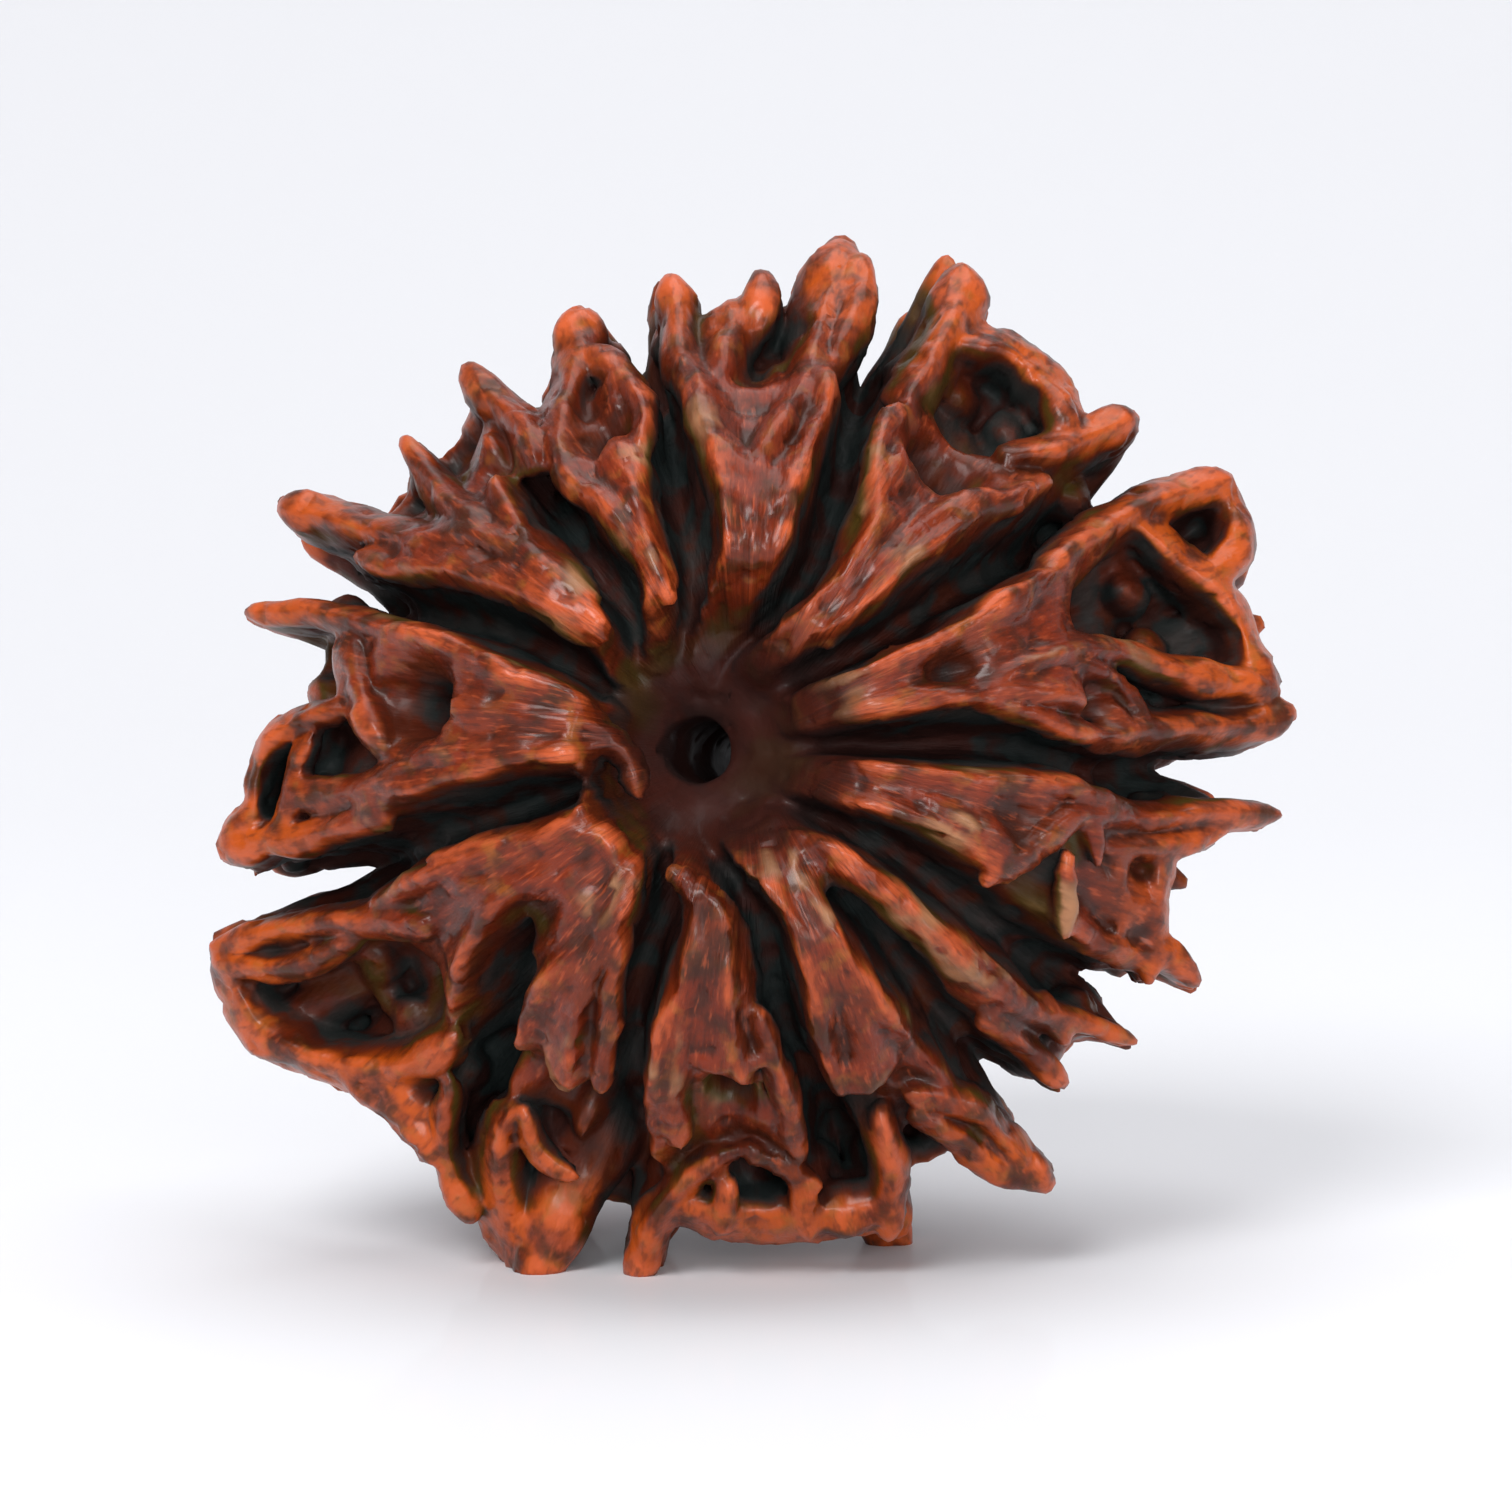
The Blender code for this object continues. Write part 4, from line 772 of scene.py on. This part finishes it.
def evened(values, pairs, steps):
    """The values after each vertex has taken its neighbours' mean that many times."""
    count = np.bincount(pairs.ravel(), minlength=len(values))
    columns = values.reshape(len(values), -1).copy()
    for _ in range(steps):
        for column in columns.T:
            total = np.bincount(pairs[:, 0], column[pairs[:, 1]], len(column))
            total += np.bincount(pairs[:, 1], column[pairs[:, 0]], len(column))
            column[:] = 0.5 * column + 0.5 * total / count
    return columns.reshape(values.shape)


points, normals = corners_of(bead.data), normals_of(bead.data)
pairs = np.empty(len(bead.data.edges) * 2, np.int64)
bead.data.edges.foreach_get("vertices", pairs)
pairs = pairs.reshape(-1, 2)
walls = BVHTree.FromPolygons(points.tolist(), [tuple(face.vertices) for face in bead.data.polygons])
# The golden angle spreads the lines of sight evenly over a ball
turns = np.arange(SIGHT_LINES) * math.pi * (3.0 - math.sqrt(5.0))
ups = 1.0 - (2.0 * np.arange(SIGHT_LINES) + 1.0) / SIGHT_LINES
outs = np.sqrt(1.0 - ups**2)
sights = np.stack((outs * np.cos(turns), outs * np.sin(turns), ups), axis=-1)
facing = normals @ sights.T
seen = np.zeros(len(points))
starts = [Vector(point) for point in points + SIGHT_START * normals]
for number, sight in enumerate(sights):
    sight = Vector(sight)
    for corner in np.flatnonzero(facing[:, number] > 0.0):
        if walls.ray_cast(starts[corner], sight, SIGHT)[0] is None:
            seen[corner] += facing[corner, number]
shelter = 1.0 - evened(seen / np.maximum(facing, 0.0).sum(axis=1), pairs, 2)
keep(bead.data, "shelter", shelter)
for name, steps, height, blur in zip(("edge", "ridge"), RIDGE_STEPS, RIDGE_HEIGHTS, RIDGE_BLURS):
    stands_out = ((points - evened(points, pairs, steps)) * normals).sum(axis=1)
    keep(bead.data, name, evened(np.clip(stands_out / height, -1.0, 1.0), pairs, blur))
keep(bead.data, "reach", np.hypot(points[:, 0], points[:, 1]))
keep(bead.data, "grain", grain_of(points))

# How it stands: turned on edge with the clean end forward and leaning back, its feet worn flat at
# the floor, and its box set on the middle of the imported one.
MM = 0.001
turn = Matrix.Rotation(math.radians(90.0 - LEAN), 4, "X")
bead.data.transform(Matrix.Scale(MM, 4) @ turn)
made = bmesh.new()
made.from_mesh(bead.data)
cut = bmesh.ops.bisect_plane(
    made,
    geom=made.verts[:] + made.edges[:] + made.faces[:],
    plane_co=(0, 0, -FLOOR * MM),
    plane_no=(0, 0, -1),
    clear_outer=True,
)
rim = [item for item in cut["geom_cut"] if isinstance(item, bmesh.types.BMEdge)]
bmesh.ops.holes_fill(made, edges=rim, sides=0)
bmesh.ops.triangulate(made, faces=made.faces)
made.to_mesh(bead.data)
made.free()
points = corners_of(bead.data)
box_low, box_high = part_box("bead")
middle = (points.min(axis=0) + points.max(axis=0)) / 2
shift = ((box_low.x + box_high.x) / 2 - middle[0], (box_low.y + box_high.y) / 2 - middle[1])
bead.data.transform(Matrix.Translation((*shift, FLOOR * MM + box_low.z)))
bead.data.shade_smooth()

# Oiled seed stone: the dried woody shell of the fruit, brushed clean and rubbed with oil. Oil turns it
# from fawn to a deep red-brown and fills the grain, so the eye sees a satin skin with small bright
# lights on the knobs and orange where the crests are rubbed thin. Painted light is laid into its colour
# too: painted highlights on the sharpest crests, painted shade in the creases and clefts that runs to
# near black, and a painted glow where light shines through the thin tips.
RED_BROWN = "#581A06"
BROWN = "#46200D"
DARK_BROWN = "#2E1106"
PINK_BROWN = "#722C15"
BRICK = "#782608"
RUBBED = "#8E3A12"
OCHRE = "#7C4A18"
SALMON = "#BC552E"
TIP_ORANGE_AND_GLOW = "#B24C0E"
BEIGE_WEAR_AND_HIGHLIGHT = "#9C6E4C"
HALF_SHADE_OLIVE = "#38380E"
SHADE_BROWN = "#471809"
SHADE_BLACK = "#2A1411"
SHADE_TEAL = "#182A2A"
# How large the patches, blotches and flecks of colour are. The fibres are about 0.05 mm wide, too fine
# to show, so they are drawn three times as coarse.
MOTTLE_MM = 2.6
BLOTCH_MM = 1.3
FLECK_MM = 0.6
FIBRE_MM = 0.16
SKIN_RELIEF_MM = 0.05
# Roughness where a cloth reaches and in the clefts, what the flecks add to it, and the polish there
ROUGH_OPEN, ROUGH_CLEFT, ROUGH_FLECKS = 0.3, 0.6, 0.25
POLISH_OPEN, POLISH_CLEFT = 0.4, 0.03


def linear(code):
    """The linear colour of an sRGB hex code."""
    parts = [int(code[start:start + 2], 16) / 255 for start in (1, 3, 5)]
    return (*[part / 12.92 if part <= 0.04045 else ((part + 0.055) / 1.055) ** 2.4 for part in parts], 1.0)


def add(tree, kind, inputs, out=0, **settings):
    """Adds a node with its settings, links the inputs that are sockets, and gives one of its outputs."""
    made = tree.nodes.new(kind)
    for name, value in settings.items():
        setattr(made, name, value)
    for name, value in inputs.items():
        if isinstance(value, bpy.types.NodeSocket):
            tree.links.new(value, made.inputs[name])
        else:
            made.inputs[name].default_value = value
    return made.outputs[out]


oiled = bpy.data.materials.new("oiled seed stone")
oiled.use_nodes = True
tree = oiled.node_tree
surface = tree.nodes["Principled BSDF"]
here = add(tree, "ShaderNodeTexCoord", {}, out="Object")
kept = {
    name: add(tree, "ShaderNodeAttribute", {}, out="Fac", attribute_name=name)
    for name in ("shelter", "edge", "ridge", "reach")
}
fibres = add(tree, "ShaderNodeAttribute", {}, out="Vector", attribute_name="grain")
mottle, blotch, fleck = (
    add(tree, "ShaderNodeTexNoise", {"Vector": here, "Scale": 1 / (size * MM), "Detail": 3.0})
    for size in (MOTTLE_MM, BLOTCH_MM, FLECK_MM)
)
fibre = add(tree, "ShaderNodeTexNoise", {"Vector": fibres, "Scale": 1 / FIBRE_MM, "Detail": 2.0})

# Each layer of colour: its colour, how strong it is, and where it shows, from nothing to all of it
LAYERS = (
    (BROWN, 0.7, ((mottle, 0.48, 0.64),)),
    (PINK_BROWN, 0.7, ((mottle, 0.5, 0.36), (kept["shelter"], 0.55, 0.2))),
    (BRICK, 0.5, ((kept["shelter"], 0.4, 0.1), (blotch, 0.35, 0.6))),
    # Painted glow: the tips turn orange and brighter further from the axis, their own orange with light
    # shining through them painted in
    (TIP_ORANGE_AND_GLOW, 0.8, ((kept["reach"], 9.5, 12.5), (blotch, 0.3, 0.58), (kept["shelter"], 0.55, 0.2))),
    (SALMON, 0.55, ((kept["reach"], 10.0, 13.0), (mottle, 0.48, 0.34), (kept["shelter"], 0.5, 0.2))),
    (RUBBED, 0.7, ((kept["ridge"], 0.2, 0.9), (kept["shelter"], 0.6, 0.25), (blotch, 0.3, 0.65))),
    (OCHRE, 0.6, ((kept["ridge"], 0.0, 0.5), (fleck, 0.5, 0.68))),
    (DARK_BROWN, 0.8, ((blotch, 0.56, 0.4), (fleck, 0.3, 0.65))),
    # Painted shade: darker brown in the small creases that dip below the surface round them
    (DARK_BROWN, 0.85, ((kept["edge"], -0.1, -0.9),)),
    # Painted highlight: salmon on the sharpest crests
    (SALMON, 0.8, ((kept["edge"], 0.2, 1.0), (kept["ridge"], 0.3, 0.9), (blotch, 0.4, 0.62))),
    (DARK_BROWN, 0.45, ((fibre, 0.5, 0.7),)),
    (SALMON, 0.3, ((fibre, 0.45, 0.25), (kept["shelter"], 0.45, 0.2))),
    # Pale beige on the knobs near the hole: partly wear and dust, partly painted highlight
    (BEIGE_WEAR_AND_HIGHLIGHT, 0.8, ((kept["edge"], 0.0, 0.8), (mottle, 0.44, 0.3), (kept["reach"], 11.0, 9.5))),
    # Painted half-shade: olive where the surface is partly sheltered, on the flanks of the crests
    (HALF_SHADE_OLIVE, 0.8, ((kept["shelter"], 0.25, 0.5), (mottle, 0.52, 0.38))),
    # Painted shade: brown, then near black, the more sheltered a point is, with a cool teal painted
    # reflection in the shade
    (SHADE_BROWN, 0.9, ((kept["shelter"], 0.35, 0.7),)),
    (SHADE_BLACK, 1.0, ((kept["shelter"], 0.6, 0.9),)),
    (SHADE_TEAL, 0.7, ((kept["shelter"], 0.42, 0.7), (blotch, 0.42, 0.58))),
    # Painted shade: near black in the deep bowl round the hole
    (SHADE_BLACK, 0.8, ((kept["reach"], 4.0, 2.0),)),
)
base = linear(RED_BROWN)
for code, strength, places in LAYERS:
    factor = strength
    for socket, low, high in places:
        span = {"Value": socket, "From Min": low, "From Max": high}
        part = add(tree, "ShaderNodeMapRange", span, interpolation_type="SMOOTHSTEP")
        factor = add(tree, "ShaderNodeMath", {0: factor, 1: part}, operation="MULTIPLY")
    # A colour Mix takes its factor at input 0 and its colours at 6 and 7, and gives output 2
    base = add(tree, "ShaderNodeMix", {0: factor, 6: base, 7: linear(code)}, out=2, data_type="RGBA")
tree.links.new(base, surface.inputs["Base Color"])

# Oil and polish lie where a cloth reaches; the dirt packed into the clefts stays dull
fine_rough = add(tree, "ShaderNodeMapRange", {"Value": fleck, "To Min": 0.0, "To Max": ROUGH_FLECKS})
span = {"Value": kept["shelter"], "From Min": 0.3, "From Max": 0.8}
rough = add(tree, "ShaderNodeMapRange", {**span, "To Min": ROUGH_OPEN, "To Max": ROUGH_CLEFT})
rough = add(tree, "ShaderNodeMath", {0: rough, 1: fine_rough}, operation="ADD")
tree.links.new(rough, surface.inputs["Roughness"])
span = {"Value": kept["shelter"], "From Min": 0.2, "From Max": 0.7}
polish = add(tree, "ShaderNodeMapRange", {**span, "To Min": POLISH_OPEN, "To Max": POLISH_CLEFT})
tree.links.new(polish, surface.inputs["Coat Weight"])
# The fibres' relief fades out towards the hole, which the thread has rubbed smooth
span = {"Value": kept["reach"], "From Min": 1.5, "From Max": 4.0}
out_of_hole = add(tree, "ShaderNodeMapRange", span)
fibre_height = add(tree, "ShaderNodeMath", {0: fibre, 1: out_of_hole}, operation="MULTIPLY")
skin_height = add(tree, "ShaderNodeMath", {0: fibre_height, 1: fleck}, operation="ADD")
relief_depth = {"Height": skin_height, "Distance": SKIN_RELIEF_MM * MM, "Strength": 1.0}
bump = add(tree, "ShaderNodeBump", relief_depth)
tree.links.new(bump, surface.inputs["Normal"])
surface.inputs["Metallic"].default_value = 0.0
surface.inputs["IOR"].default_value = 1.5
surface.inputs["Specular IOR Level"].default_value = 0.12
surface.inputs["Coat Roughness"].default_value = 0.24
surface.inputs["Coat IOR"].default_value = 1.47
bead.data.materials.clear()
bead.data.materials.append(oiled)

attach(bead, "root")
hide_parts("bead")

# The table under it: a pale acrylic sheet, polished, which runs back and up behind the bead in one
# sweep. Its polish gives a faint reflection of the bead.
SWEEP_HALF_WIDTH = 1.2
SWEEP_FRONT = -0.5
SWEEP_BACK = 0.1
SWEEP_BEND = 0.6
SWEEP_TOP = 1.0
BEND_STEPS = 32
ACRYLIC_WHITE = "#DDDEE2"

profile = [(SWEEP_FRONT, 0.0), (SWEEP_BACK, 0.0)]
for step in range(1, BEND_STEPS + 1):
    swing = math.radians(90.0 * step / BEND_STEPS)
    profile.append((SWEEP_BACK + SWEEP_BEND * math.sin(swing), SWEEP_BEND * (1.0 - math.cos(swing))))
profile.append((SWEEP_BACK + SWEEP_BEND, SWEEP_TOP))
made = bmesh.new()
sides = [
    [made.verts.new((side, y, z)) for y, z in profile] for side in (-SWEEP_HALF_WIDTH, SWEEP_HALF_WIDTH)
]
for near, far, next_near, next_far in zip(sides[0], sides[1], sides[0][1:], sides[1][1:]):
    made.faces.new((near, far, next_far, next_near))
sheet = bpy.data.meshes.new("pale_sweep")
made.to_mesh(sheet)
made.free()
sheet.shade_smooth()
sweep = bpy.data.objects.new("pale_sweep", sheet)
bpy.context.collection.objects.link(sweep)
acrylic = bpy.data.materials.new("polished acrylic")
acrylic.use_nodes = True
pale = acrylic.node_tree.nodes["Principled BSDF"]
pale.inputs["Base Color"].default_value = linear(ACRYLIC_WHITE)
pale.inputs["Roughness"].default_value = 0.6
pale.inputs["Specular IOR Level"].default_value = 0.1
pale.inputs["Coat Weight"].default_value = 0.1
pale.inputs["Coat Roughness"].default_value = 0.03
sheet.materials.append(acrylic)
sweep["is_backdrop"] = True

# The light: a pale room all round, a soft box in front of the bead, above and to its left, weaker ones
# on its right and straight in front, which reach into the clefts, and one overhead for the sheet.
ROOM_WHITE = "#F7F5F8"
ROOM_STRENGTH = 0.26
# Each soft box: where it stands, how wide it is in metres, and its power in watts
SOFT_BOXES = (
    ("key", (-0.20, -0.46, 0.42), 0.26, 3.2),
    ("fill", (0.45, -0.40, 0.15), 0.24, 0.8),
    ("front", (0.06, -0.60, 0.12), 0.24, 1.9),
    ("top", (0.05, 0.05, 0.60), 0.60, 2.8),
)

world = bpy.data.worlds.new("pale room")
bpy.context.scene.world = world
world.use_nodes = True
room = world.node_tree.nodes["Background"]
room.inputs["Color"].default_value = linear(ROOM_WHITE)
room.inputs["Strength"].default_value = ROOM_STRENGTH
middle = Vector((0.0, 0.0, (box_low.z + box_high.z) / 2))
for name, spot, width, watts in SOFT_BOXES:
    lamp = bpy.data.lights.new(name, "AREA")
    lamp.shape = "SQUARE"
    lamp.size = width
    lamp.energy = watts
    held = bpy.data.objects.new(name, lamp)
    held.location = spot
    held.rotation_mode = "QUATERNION"
    held.rotation_quaternion = (middle - Vector(spot)).to_track_quat("-Z", "Y")
    bpy.context.collection.objects.link(held)

# The camera: a long lens close to the table, looking slightly down at the clean end
LENS_MM = 150.0
SENSOR_MM = 36.0
DISTANCE = 0.1628
ELEVATION = 6.0
AIM = Vector((0.0001, 0.0, 0.0129))
CLIP = (0.01, 10.0)

rise = math.radians(ELEVATION)
back = Vector((0.0, -math.cos(rise), math.sin(rise)))
lens = bpy.data.cameras.new("camera")
lens.lens = LENS_MM
lens.sensor_width = SENSOR_MM
lens.clip_start, lens.clip_end = CLIP
camera = bpy.data.objects.new("camera", lens)
camera.location = AIM + DISTANCE * back
camera.rotation_mode = "QUATERNION"
camera.rotation_quaternion = (-back).to_track_quat("-Z", "Y")
bpy.context.collection.objects.link(camera)
bpy.context.scene.camera = camera
bpy.context.scene.view_settings.view_transform = "Standard"

low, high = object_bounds()
